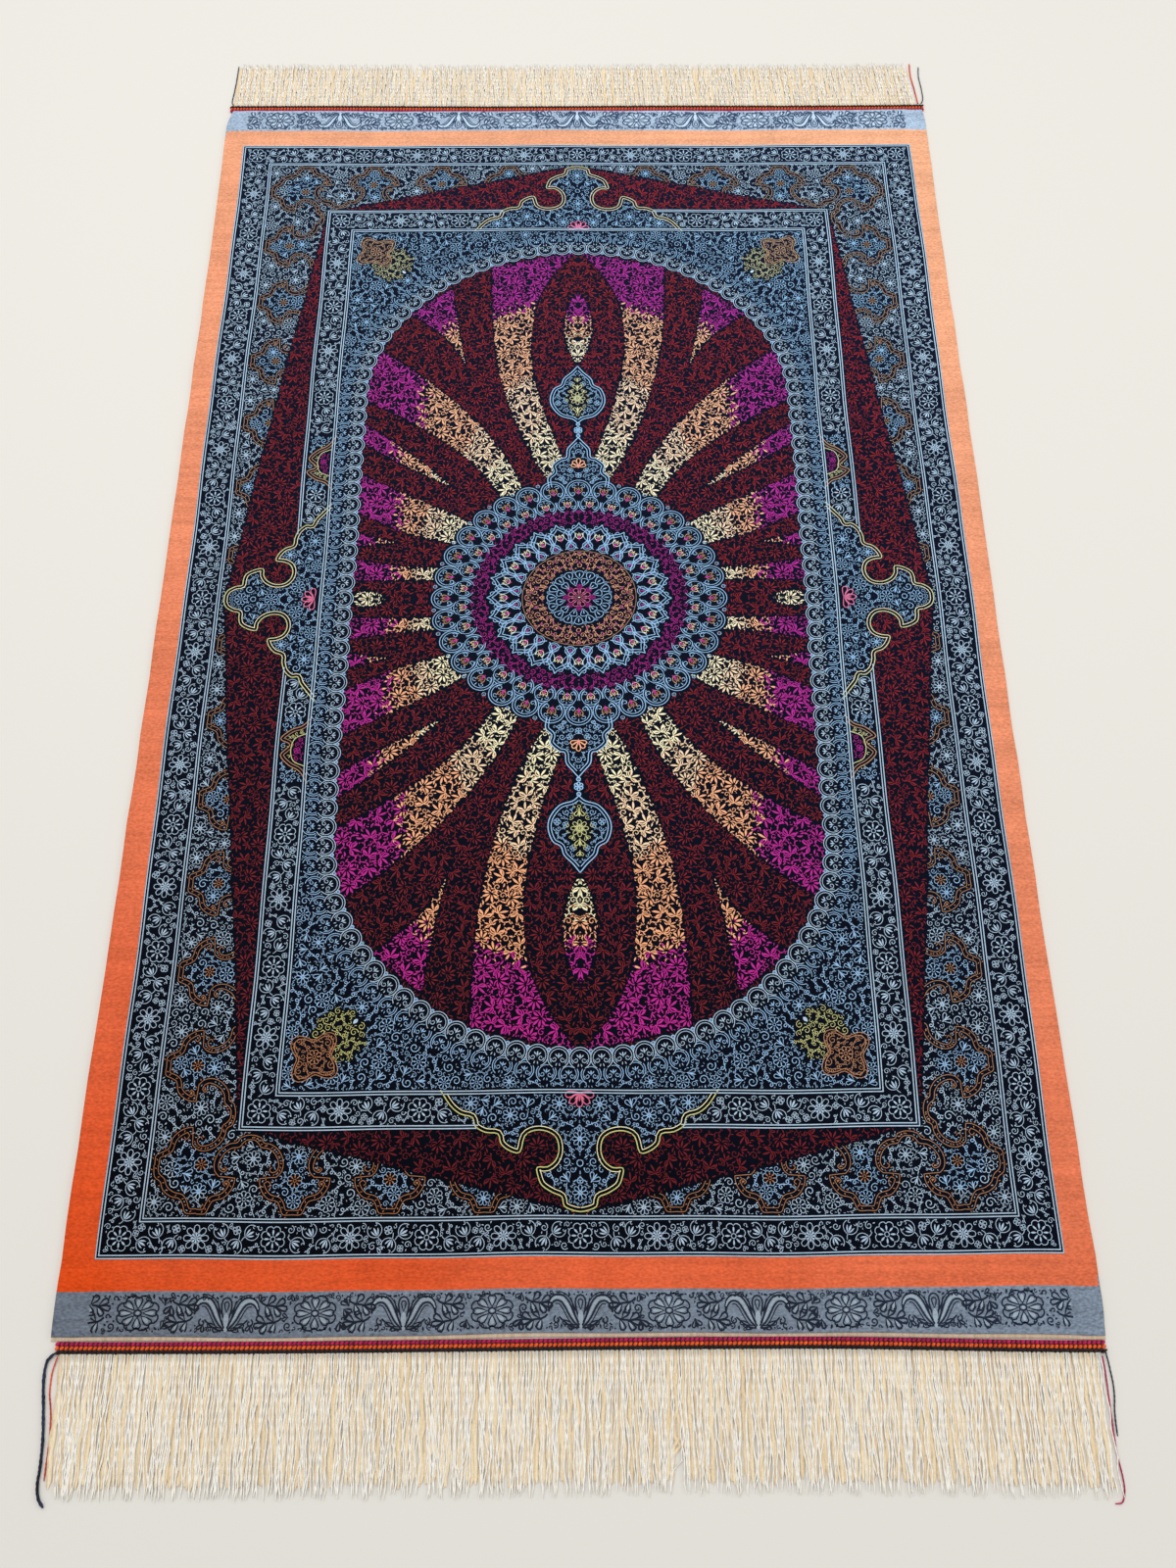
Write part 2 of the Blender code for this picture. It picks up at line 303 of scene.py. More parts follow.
@dataclass
class Ink:
    """Collects the quads of the design with their layers, by yarn."""

    parts: dict[Tone, list[tuple[Points, Points]]] = field(default_factory=dict)
    turn: int = 0

    def stamp(self, motif: Stamp, places: Sequence, tone: Tone | Zone, zone: Zone | None = None,
        stretch: tuple[float, float] = (1.0, 1.0)) -> None:
        """Places a motif in one quarter of the design and mirrors it into the other three.

        Args:
            motif: what to place.
            places: rows of x, y, angle in degrees, size and side (1, or -1 for its mirror image).
            tone: the yarn of the strips that name none, or a rule that gives the yarn at each place.
            zone: where ink may go; quads outside it are left out.
            stretch: a scaling along x and y after placing.
        """
        rows = np.atleast_2d(np.asarray(places, float))
        if not rows.size:
            return
        x, y, angle, size, side = rows.T[:, :, None]
        c, s = np.cos(np.radians(angle)) * size, np.sin(np.radians(angle)) * size
        u, v = motif.corners[:, 0], motif.corners[:, 1] * side
        net = np.stack([(x + u * c - v * s) * stretch[0], (y + u * s + v * c) * stretch[1]], axis=2)
        net = net[:, motif.faces]
        flip = rows[:, 4] < 0
        net[flip] = net[flip][:, :, ::-1]
        self.turn += 1
        layer = motif.level[motif.faces[:, 0]] + 6 * ((np.arange(len(rows)) + self.turn) % 3)[:, None]
        net, layer = net.reshape(-1, 4, 2), layer.ravel()
        mx, my = net.mean(axis=1).T
        keep = (mx > -0.25) & (my > -0.25)
        if zone is not None:
            keep &= zone(mx, my)
        own = np.tile(motif.tones, len(rows))
        yarn = np.where(own < 0, tone(mx, my) if callable(tone) else tone, own)
        for number in np.unique(yarn[keep]):
            chosen = keep & (yarn == number)
            made = [(net[chosen] * (i, j))[:, :: i * j] for i, j in ((1, 1), (-1, 1), (-1, -1), (1, -1))]
            self.parts.setdefault(Tone(number), []).append((np.concatenate(made), np.tile(layer[chosen], 4)))

    def draw(self, strips: Sequence[Strip], tone: Tone, zone: Zone | None = None) -> None:
        """Draws strips where they are."""
        self.stamp(Stamp.of(strips), [(0, 0, 0, 1, 1)], tone, zone)


# The plan of the design


@dataclass(frozen=True)
class Band:
    """A rectangular frame of the design, as half-sizes."""

    outer_x: float
    outer_y: float
    inner_x: float
    inner_y: float

    def holds(self, x: Points, y: Points) -> Points:
        """True within the frame."""
        x, y = abs(x), abs(y)
        return (x < self.outer_x) & (y < self.outer_y) & ((x > self.inner_x) | (y > self.inner_y))

    def shrunk(self, inset: float) -> "Band":
        """The frame with all its edges moved in."""
        return Band(self.outer_x - inset, self.outer_y - inset, self.inner_x + inset, self.inner_y + inset)


@dataclass(frozen=True)
class Ray:
    """A light ray between two cubic curves, and how far in from the rim of the field its yarn is magenta."""

    magenta: float
    low: tuple[tuple[float, float], ...]
    high: tuple[tuple[float, float], ...]

    def holds(self, x: Points, y: Points) -> Points:
        """True on the ray."""
        return inside(np.concatenate([bezier(*self.low, 24), bezier(*self.high, 24)[::-1]]), x, y)


def inside(polygon: Points, x: Points, y: Points) -> Points:
    """True where a point is inside a closed polygon.

    Args:
        polygon: its corners.
        x, y: the points.

    Returns:
        A truth value for each point.
    """
    found = np.zeros(x.shape, bool)
    for (x0, y0), (x1, y1) in zip(polygon, np.roll(polygon, -1, axis=0)):
        if y0 != y1:
            found ^= ((y0 > y) != (y1 > y)) & (x < (x1 - x0) * (y - y0) / (y1 - y0) + x0)
    return found


@dataclass(frozen=True)
class Plan:
    """Where each part of the design lies, in millimetres from its middle."""

    guard: Band = Band(377.4, 588.7, 342.6, 558.0)
    inner: Band = Band(275.8, 491.8, 244.6, 460.8)
    margin_end: float = 611.6  # where the orange margin meets the end band
    oval_x: float = 216.4
    oval_straight: float = 234.0
    oval_end: float = 194.0
    medallion_x: float = 142.3
    medallion_y: float = 135.6
    wing_x: float = 339.0  # the red rhomb's corner on the side
    wing_y: float = 557.0  # and at the end
    rays: tuple[Ray, ...] = (
        Ray(38, ((128, 20), (150, 20.5), (190, 21), (222, 20)),
            ((126, 34.5), (158, 35), (190, 38), (222, 45))),
        Ray(40, ((112, 60), (150, 63), (186, 79), (222, 100)),
            ((96, 78), (130, 102), (178, 120), (222, 146))),
        Ray(58, ((76, 110), (98, 162), (160, 204), (222, 235)),
            ((54, 122), (79, 190), (144, 260), (212, 302))),
        Ray(66, ((32, 136), (72, 204), (95, 290), (92, 410)),
            ((8, 140), (46, 240), (80, 355), (0, 431))),
    )
    wedges: tuple[Ray, ...] = (
        Ray(20, ((175, 63.5), (190, 61), (205, 59), (222, 58)),
            ((175, 63.5), (190, 66), (205, 70), (222, 76))),
        Ray(34, ((124, 126), (150, 138), (185, 160), (222, 182)),
            ((124, 126), (142, 146), (170, 172), (222, 208))),
        Ray(44, ((113, 266), (122, 300), (145, 324), (178, 346)),
            ((113, 266), (120, 300), (128, 336), (134, 382))),
    )

    def oval_depth(self, x: Points, y: Points) -> Points:
        """How far inside the oval a point lies, in millimetres, and negative outside."""
        up = np.maximum(abs(y) - self.oval_straight, 0.0)
        reach = np.hypot(abs(x) / self.oval_x, up / self.oval_end)
        slope = np.hypot(abs(x) / self.oval_x**2, up / self.oval_end**2) / np.maximum(reach, 1e-6)
        return (1 - reach) / np.maximum(slope, 1e-4)

    def medallion_share(self, x: Points, y: Points) -> Points:
        """How far out a point lies, as a share of the medallion's radius."""
        return np.hypot(x / self.medallion_x, y / self.medallion_y)

    def wing(self, x: Points, y: Points) -> Points:
        """True in the four red points of the rhomb that show behind the inner frame."""
        x, y = abs(x), abs(y)
        frame_x, frame_y = self.inner.outer_x, self.inner.outer_y
        side_slope = self.wing_x - (self.wing_x - frame_x) * y / frame_y
        end_slope = self.wing_y - (self.wing_y - frame_y) * x / (frame_x * 0.97)
        side = (x > frame_x) & (x < side_slope) & (y < frame_y)
        end = (y > frame_y) & (y < end_slope) & (x < frame_x)
        return side | end

    def oval_rim(self, offset: float, pitch: float) -> Points:
        """Evenly spaced points along a quarter of the oval's rim, moved outward.

        Args:
            offset: how far outward.
            pitch: about how far apart.

        Returns:
            Rows of x, y and outward angle in degrees, from the long side's middle to the end's middle.
        """
        angles = np.linspace(0.0, math.pi / 2, 400)
        curve = pairs(self.oval_x * np.cos(angles), self.oval_straight + self.oval_end * np.sin(angles))
        out = pairs(np.cos(angles) / self.oval_x, np.sin(angles) / self.oval_end)
        out /= np.hypot(*out.T)[:, None]
        side = pairs(np.full(200, self.oval_x), np.linspace(0.0, self.oval_straight, 200, endpoint=False))
        facing = np.concatenate([np.tile([1.0, 0.0], (200, 1)), out])
        line = np.concatenate([side, curve]) + facing * offset
        gone = travelled(line)
        count = round(gone[-1] / pitch)
        at = np.arange(count + 1) * gone[-1] / count
        x, y, east, north = (np.interp(at, gone, column) for column in (*line.T, *facing.T))
        return np.stack([x, y, np.degrees(np.arctan2(north, east))], axis=1)


PLAN = Plan()


# Motifs, in millimetres, each drawn once about the origin


def fan(radius: float, middle: float, count: int, rows: Sequence[tuple], lean: float = 0.0) -> list[Strip]:
    """Petals whose feet lie on a circle.

    Args:
        radius: the circle's radius.
        middle: where its middle lies on the x axis.
        count: points along each petal.
        rows: the angle on the circle, length, width and bend of each petal.
        lean: how far each turns from straight outward, in degrees.

    Returns:
        The petals.
    """
    feet = [math.radians(angle) for angle, *_ in rows]
    return [petal(middle + radius * math.cos(foot), radius * math.sin(foot), row[0] + lean, *row[1:],
        count=count) for foot, row in zip(feet, rows)]


# scalloped edge, eight filled petals, ringed eye
ROSETTE = [scallops(6.0, 1.2, 1.0), *around([petal(1.9, 0, 0, 2.9, 1.7, count=5)], 8), ring(1.25, 0.8, 8)]
# eight pointed petals in outline round a filled eye
STAR_FLOWER = [*around([outline(1.2, 0, 0, 5.0, 3.0, 0.9, fullness=1.3)], 8),
    *around([petal(0.2, 0, 0, 2.0, 1.1, count=4)], 8, 22.5)]
FLORET = [*around([outline(0.8, 0, 0, 3.5, 2.9, 0.9, count=8)], 6), dot(0, 0, 0.75)]
QUATREFOIL = [*around([outline(0.4, 0, 45, 3.0, 2.9, 0.9, count=8)], 4),
    *around([petal(1.6, 0, 0, 1.8, 0.8, count=4)], 4)]
# a filled heart between two sepals in outline
BUD = [*mirrored(outline(-3.0, 0, 34, 5.6, 2.5, 0.9, count=8)),
    petal(-2.4, 0, 0, 5.0, 1.7), dot(-3.2, 0, 0.7)]
# a spiral stem with two leaves
SCROLL = [stroke(curl_line(0, 0, 3.1, -150, 1.25, 0.22, 13), 0.95, 0.2),
    petal(-2.3, 2.3, 120, 1.9, 1.2, count=4), petal(2.6, 2.0, 20, 1.8, 1.1, count=4)]
# an s-curve that ends in two curls
HALF_ARABESQUE = [stroke(np.concatenate([bezier((0, 0), (0.9, 1.9), (2.6, 2.2), (3.3, 0.9), 6),
    arc(2.5, 0.7, 0.85, 10, -200, 6)[1:]]), 0.95), petal(1.5, 1.9, 70, 2.0, 1.0, -30, count=4)]
ARABESQUE = [*HALF_ARABESQUE, *turned(HALF_ARABESQUE, 180), petal(-0.7, 0.5, -35, 2.0, 0.9, count=4)]
CURL = [stroke(curl_line(0.2, 0, 1.9, -160, 0.85, 0.35, 8), 0.9, 0.2),
    petal(-1.4, -1.0, 250, 1.3, 0.9, count=4)]
LEAF_PAIR = mirrored(outline(-2.0, 0, 27, 4.2, 1.9, 0.85, count=7))
EYELET = [ring(1.45, 0.85, 8), dot(0, 0, 0.4)]
HOOK = [stroke(arc(0, 0, 1.15, 30, 250, 6), 0.85, 0.3)]
SEED = [petal(-0.9, 0, 0, 1.8, 0.9, 30, count=4)]
# five pointed petals in a fan, two drooping sepals and a bent stem
GREAT_LILY = [
    *fan(1.9, -2.6, 5, ((3, 6.0, 1.9, 1.2), (33, 5.2, 1.9, 13.2), (-30, 5.4, 1.9, -12.0),
        (66, 4.2, 1.9, 26.4), (-64, 4.4, 1.9, -25.6))),
    *mirrored(petal(-2.8, 0.8, 118, 3.8, 1.1, -50, count=5)),
    stroke(bezier((-2.6, 0), (-4.0, 0.2), (-5.2, -1.2), (-5.4, -3.0), 5), 1.0, 0.3)]
# three long bent petals, two hooks round them and a curling stem with a leaf
FAN_LILY = [petal(-1.9, 0.08, 4, 6.4, 1.8, 16, count=5), petal(-1.9, 0.88, 44, 5.0, 1.8, 34, count=5),
    petal(-1.9, -0.76, -38, 5.2, 1.8, -30, count=5),
    *mirrored(stroke(bezier((-2.2, 0.3), (-3.2, 3.6), (-0.6, 5.4), (1.6, 4.4), 6), 1.0, 0.4)),
    stroke(bezier((-2.0, 0), (-3.8, -0.4), (-4.6, -2.6), (-2.6, -4.4), 6), 1.0, 0.3),
    petal(-4.0, -1.6, 196, 2.4, 1.1, 30, count=4)]
# a winding stem with slender leaves on its outer side
SPRAY = [stroke(curl_line(0, 0, 3.9, 190, 1.15, 0.22, 10), 1.05, 0.35),
    *fan(3.8, 0, 4, [(foot, 3.4, 1.35, -42) for foot in (205, 265, 325, 25)], 55)]
# a bent stem with leaves on both sides
VINE_STEM = bezier((-5.6, -2.2), (-2.0, 4.2), (1.8, -4.4), (5.6, 2.0), 8)
VINE = [stroke(VINE_STEM, 1.0, 0.4), *(
    petal(*VINE_STEM[at], angle, length, 1.3, bend, count=4)
    for at, angle, length, bend in
    ((1, 104, 3.4, -44), (2, -34, 2.8, 34), (4, -100, 3.6, 50), (5, 42, 2.8, 40), (6, 96, 3.2, -34)))]
SPRIG = [petal(-2.6, -0.3, 4, 5.4, 1.6, 26, count=5), petal(-1.7, 0.5, 70, 2.9, 1.2, -30, count=4),
    petal(-1.5, -0.7, -62, 2.9, 1.2, 30, count=4)]
COMMA = [petal(-1.9, -0.4, 28, 3.6, 1.25, -56, count=5), petal(0.2, -1.4, -30, 2.2, 1.0, 50, count=4)]
LEAF = [petal(-1.7, 0, -14, 3.5, 1.35, 34, count=4)]
# a round lobe of the lace edge that opens towards -x, with two curls and a bud in it
LOBE = [stroke(arc(0, 0, 9.1, -152, 152, 17), 1.0), stroke(arc(-0.2, 0, 7.2, -128, 128, 14), 0.8),
    *mirrored(stroke(curl_line(-1.6, 3.4, 2.6, 80, 1.05, 0.3, 10), 0.85, 0.2)),
    petal(-1.0, 0, 0, 4.6, 1.7, count=5), *mirrored(petal(0.4, 0.6, 52, 3.4, 1.3, -20, count=5)),
    *mirrored(petal(-4.6, 0.9, 150, 2.6, 1.1, 30, count=4))]
# a filled heart, two open wings and a stalk, reaching towards +x
TULIP = [petal(-4.0, 0, 0, 7.6, 3.0), *mirrored(petal(-3.6, 0.5, 38, 6.4, 2.0, -26)),
    *mirrored(stroke(bezier((-4.6, 0.6), (-3.4, 6.4), (3.2, 8.4), (6.6, 3.4)), 1.0)),
    *mirrored(stroke(bezier((6.6, 3.4), (4.4, 4.4), (3.6, 2.8), (4.8, 1.8), 5), 0.9)),
    stroke(np.array([(-4.4, 0.0), (-6.8, 0.4), (-9.0, 1.6)]), 1.0)]
# the two round flowers of the guards
GUARD_ROSETTE = [scallops(9.6, 1.8, 1.05, 5), *around([petal(2.6, 0, 0, 4.4, 2.5)], 8), ring(1.9, 1.0, 9)]
GUARD_STAR = [*around([outline(2.2, 0, 0, 7.6, 4.4, 1.0, fullness=1.25)], 8),
    *around([petal(0.3, 0, 0, 4.2, 1.7, count=5)], 8)]


@dataclass(frozen=True)
class Choice:
    """Motifs that fill round places of one range of sizes."""

    low: float
    high: float
    stamps: tuple[Stamp, ...]
    apart: float = 0.0  # the least space between two of them


FINE_PEN = 0.46


def choices(pen: float, *rows: tuple) -> tuple[Choice, ...]:
    """Makes choices from rows of least and greatest radius, (motif, its radius) pairs and space apart."""
    return tuple(
        Choice(low, high, tuple(Stamp.of(*kind, pen) for kind in kinds), *apart)
        for low, high, kinds, *apart in rows
    )


LACE_FILL = choices(
    FINE_PEN,
    (5.2, 6.2, ((ROSETTE, 6.1), (STAR_FLOWER, 6.4)), 15.0),
    (4.0, 5.0, ((ARABESQUE, 3.7), (BUD, 4.0), (SCROLL, 3.5), (ARABESQUE, 3.7)), 1.0),
    (2.8, 3.7, ((SCROLL, 3.5), (ARABESQUE, 3.6))),
    (1.9, 2.6, ((CURL, 2.3), (ARABESQUE, 3.4))),
    (1.3, 1.7, ((HOOK, 1.5), (HOOK, 1.5), (SEED, 1.2))),
    (0.95, 1.2, ((SEED, 1.1),)),
)
FINE_FILL = choices(
    0.54,
    (2.7, 3.6, ((SCROLL, 3.5), (ARABESQUE, 3.6), (QUATREFOIL, 3.9))),
    (1.9, 2.6, ((CURL, 2.3), (LEAF_PAIR, 2.3), (CURL, 2.3))),
    (1.3, 1.8, ((HOOK, 1.5), (SEED, 1.2))),
)
BAND_FILL = choices(
    1.15,
    (3.4, 4.6, ((BUD, 4.0), (SCROLL, 3.5), (LEAF_PAIR, 2.4))),
    (2.3, 3.3, ((SCROLL, 3.5), (LEAF_PAIR, 2.4), (CURL, 2.4))),
    (1.6, 2.2, ((CURL, 2.3), (LEAF_PAIR, 2.3), (LEAF, 2.0))),
    (1.0, 1.5, ((LEAF, 1.8), (SEED, 1.2))),
)
RING_FILL = choices(
    FINE_PEN,
    (2.8, 3.7, ((ARABESQUE, 3.6), (SCROLL, 3.5))),
    (1.9, 2.7, ((CURL, 2.3), (LEAF_PAIR, 2.3))),
    (1.3, 1.8, ((HOOK, 1.5),)),
)
LEAF_ROWS = (
    (4.9, 5.9, ((GREAT_LILY, 5.4), (FAN_LILY, 5.2)), 3.2),
    (3.6, 4.7, ((VINE, 5.2), (SPRAY, 5.2), (FAN_LILY, 5.2)), 0.4),
    (2.5, 3.4, ((SPRIG, 3.0), (VINE, 5.0), (COMMA, 2.2))),
    (1.7, 2.4, ((COMMA, 2.1), (LEAF, 1.8), (COMMA, 2.1))),
    (1.1, 1.6, ((LEAF, 1.8),)),
    (0.75, 1.0, ((SEED, 1.1),)),
)
LIGHT_FILL = choices(0.76, *LEAF_ROWS)
DARK_FILL = choices(0.62, *LEAF_ROWS[:-1])


# Packing: round places of falling size until the ground is full


@dataclass
class Room:
    """The free ground over one quarter of the design, on a fine net of cells."""

    zone: Zone
    cell: float = 0.7
    reach: float = 11.5
    clear: Points = field(init=False)
    x: Points = field(init=False)
    y: Points = field(init=False)

    def __post_init__(self) -> None:
        """Measures how far each cell is from ground that isn't free."""
        self.x, self.y = ((np.arange(int(size / self.cell)) + 0.5) * self.cell for size in (382, 644))
        free = self.zone(*np.meshgrid(self.x, self.y, indexing="ij"))
        index = np.arange(len(self.x))[:, None]
        before = np.maximum.accumulate(np.where(free, -9999, index), axis=0)
        after = np.minimum.accumulate(np.where(free, 9999, index)[::-1], axis=0)[::-1]
        steps = int(self.reach / self.cell)
        across = (np.minimum(np.minimum(index - before, after - index), steps + 1) * self.cell) ** 2
        best = across.copy()
        for step in range(1, steps + 1):
            rise = (step * self.cell) ** 2
            best[:, step:] = np.minimum(best[:, step:], across[:, :-step] + rise)
            best[:, :-step] = np.minimum(best[:, :-step], across[:, step:] + rise)
        self.clear = np.sqrt(best) - 0.5 * self.cell

    def take(self, x: float, y: float, radius: float, reach: float = 7.0, net: Points | None = None) -> None:
        """Marks a round place as taken.

        Args:
            x, y: its middle.
            radius: its radius.
            reach: how far round it the free distances are measured anew.
            net: the free distances, if not the room's own.
        """
        span = radius + reach
        i0, i1 = max(0, int((x - span) / self.cell)), int((x + span) / self.cell) + 2
        j0, j1 = max(0, int((y - span) / self.cell)), int((y + span) / self.cell) + 2
        gap = np.hypot(self.x[i0:i1, None] - x, self.y[None, j0:j1] - y) - radius
        view = (self.clear if net is None else net)[i0:i1, j0:j1]
        np.minimum(view, gap, out=view)

    def take_line(self, line: Points, radius: float) -> None:
        """Marks the ground along a line as taken."""
        gone = travelled(line)
        at = np.arange(0.0, gone[-1], max(0.8, 0.8 * radius))
        for x, y in zip(np.interp(at, gone, line[:, 0]), np.interp(at, gone, line[:, 1])):
            if x > -12 and y > -12:
                self.take(x, y, radius)

    def pack(self, choice: Choice) -> Points:
        """Finds round places that touch neither each other nor taken ground.

        Args:
            choice: their range of sizes and the space between them.

        Returns:
            Rows of x, y and radius. A place on an axis of the design is centred on it.
        """
        placed = []
        low, high, apart = choice.low, choice.high, choice.apart
        room = np.minimum(np.minimum(self.clear, self.x[:, None]), self.y[None, :])
        room[0], room[:, 0] = self.clear[0], self.clear[:, 0]
        cells = np.argwhere(room >= low)
        CHANCE.shuffle(cells)
        spaced = self.clear.copy() if apart else self.clear
        axis = (cells[:, 0] == 0) | (cells[:, 1] == 0)
        for i, j in np.concatenate([cells[axis], cells[~axis]]):
            x = 0.0 if i == 0 else self.x[i]
            y = 0.0 if j == 0 else self.y[j]
            radius = min(self.clear[i, j], high, x if x else high, y if y else high)
            if radius >= low and spaced[i, j] >= low:
                placed.append((x, y, radius))
                self.take(x, y, radius, high + 1.5)
                if apart:
                    self.take(x, y, radius + apart, low + 1.0, spaced)
        return np.array(placed).reshape(-1, 3)

    def fill(self, ink: Ink, kinds: Sequence[Choice], tone: Tone | Zone, zone: Zone | None = None,
        spread: float = 1.03) -> None:
        """Packs the free ground with motifs and stamps them.

        Args:
            ink: where they go.
            kinds: the motifs, from large to small.
            tone: their yarn, or a rule for it.
            zone: ink outside it is left out.
            spread: how much larger than its place a motif is.
        """
        for choice in kinds:
            places = self.pack(choice)
            if not len(places):
                continue
            kind = CHANCE.integers(0, len(choice.stamps), len(places))
            angle = CHANCE.uniform(0, 360, len(places))
            angle[places[:, 0] == 0] = 90.0
            angle[places[:, 1] == 0] = 0.0
            flip = CHANCE.integers(0, 2, len(places)) * 2 - 1
            rows = np.column_stack([places[:, :2], angle, spread * places[:, 2], flip])
            for number, stamp in enumerate(choice.stamps):
                ink.stamp(stamp, rows[kind == number] / (1, 1, 1, stamp.radius, 1), tone, zone)


# The regions of the design


@dataclass(frozen=True)
class Cartouche:
    """A blue figure that stands over the frames at the middle of a side or an end."""

    edge: tuple[tuple[float, float], ...]
    flower: tuple[float, float, float]

    def outline(self) -> Points:
        """Its smooth outline."""
        return smooth(self.edge, 3)

    def holds(self, x: Points, y: Points) -> Points:
        """True inside it."""
        closed = np.concatenate([self.outline(), [(self.flower[0] * 0.9, self.flower[1] * 0.9)]])
        return inside(closed, abs(x), abs(y))


SIDE_CARTOUCHE = Cartouche(((338.6, 0.0), (338.4, 4.0), (335.6, 9.5), (329.0, 13.6), (323.0, 15.0),
    (322.6, 20.5), (320.6, 27.5), (313.0, 32.4), (304.8, 33.6), (303.6, 26.0), (299.0, 19.8), (291.0, 16.4),
    (282.6, 17.6), (277.4, 23.0), (276.0, 31.0), (279.2, 38.2), (286.0, 41.6), (293.4, 43.0), (291.6, 50.4),
    (286.0, 57.0), (278.4, 60.4), (277.6, 68.0), (274.4, 77.0), (267.6, 83.2), (261.6, 83.0), (258.6, 90.0),
    (251.0, 99.5), (244.0, 108.5)), (251.5, 0.0, 0.0))
END_CARTOUCHE = Cartouche(((0.0, 555.6), (5.0, 554.8), (12.6, 551.6), (14.6, 544.6), (22.0, 541.4),
    (30.4, 536.0), (33.6, 529.0), (34.2, 522.4), (26.0, 522.0), (19.4, 516.8), (16.8, 508.6), (18.8, 499.6),
    (26.0, 494.6), (36.0, 493.6), (44.4, 498.0), (48.2, 510.4), (56.6, 509.0), (63.4, 503.6), (66.0, 495.8),
    (76.0, 494.4), (84.4, 489.6), (87.0, 482.4), (96.6, 479.6), (105.0, 473.0), (113.6, 460.6)),
    (0.0, 462.5, 90.0))


@dataclass(frozen=True)
class Guard:
    """One of the two narrow borders: double lines at its edges, and a row of rosettes, stars and tulips."""

    band: Band
    pitch: float = 57.0
    line: float = 0.85
    line_gap: float = 2.3

    def frame_lines(self) -> list[Strip]:
        """The four thin frames along its edges, over one quarter."""
        strips = []
        for inset in (0.7, 0.7 + self.line_gap):
            slim = self.band.shrunk(inset)
            for x, y in ((slim.outer_x, slim.outer_y), (slim.inner_x, slim.inner_y)):
                strips.append(stroke(straight((0, y), (x + self.line / 2, y)), self.line))
                strips.append(stroke(straight((x, 0), (x, y)), self.line))
        return strips

    def draw(self, ink: Ink, zone: Zone) -> None:
        """Draws the guard.

        Args:
            ink: where it goes.
            zone: the part of the design that shows the guard.
        """
        slim = self.band.shrunk(self.line_gap + 1.9)
        ink.draw(self.frame_lines(), Tone.SILVER, zone)
        within: Zone = lambda x, y: slim.holds(x, y) & zone(x, y)
        room = Room(within)
        band = self.band
        corner = 0.5 * np.array([band.outer_x + band.inner_x, band.outer_y + band.inner_y])
        for heading, ahead, side in ((0.0, (1.0, 0.0), (0.0, 1.0)), (90.0, (0.0, 1.0), (-1.0, 0.0))):
            ahead, side = np.array(ahead), np.array(side)
            start = corner * (1 - ahead)
            length = math.dist(start, corner)
            count = 2 * max(1, round(length / self.pitch / 2))
            step = length / count
            roses, stars, tulips = [], [], []
            for i in range(count + 1):
                middle = start + ahead * step * i
                (stars if i % 2 else roses).append((*middle, heading, 1.0, 1))
                room.take(*middle, 10.2)
                if i == count:
                    break
                way = 1 if i % 2 else -1
                for share, across, turn in ((0.33, 4.2, 62), (0.52, -4.6, -62), (0.70, 3.8, 150)):
                    along = i + (share if way > 0 else 1 - share)
                    place = start + ahead * step * along + side * across * way
                    tulips.append((*place, heading + turn * way, 0.92, way))
                    room.take(*place, 6.2)
            for motif, rows in ((GUARD_ROSETTE, roses), (GUARD_STAR, stars), (TULIP, tulips)):
                ink.stamp(Stamp.of(motif, pen=0.52), rows, Tone.SILVER, within)
        room.fill(ink, FINE_FILL[:2], Tone.SILVER, zone)


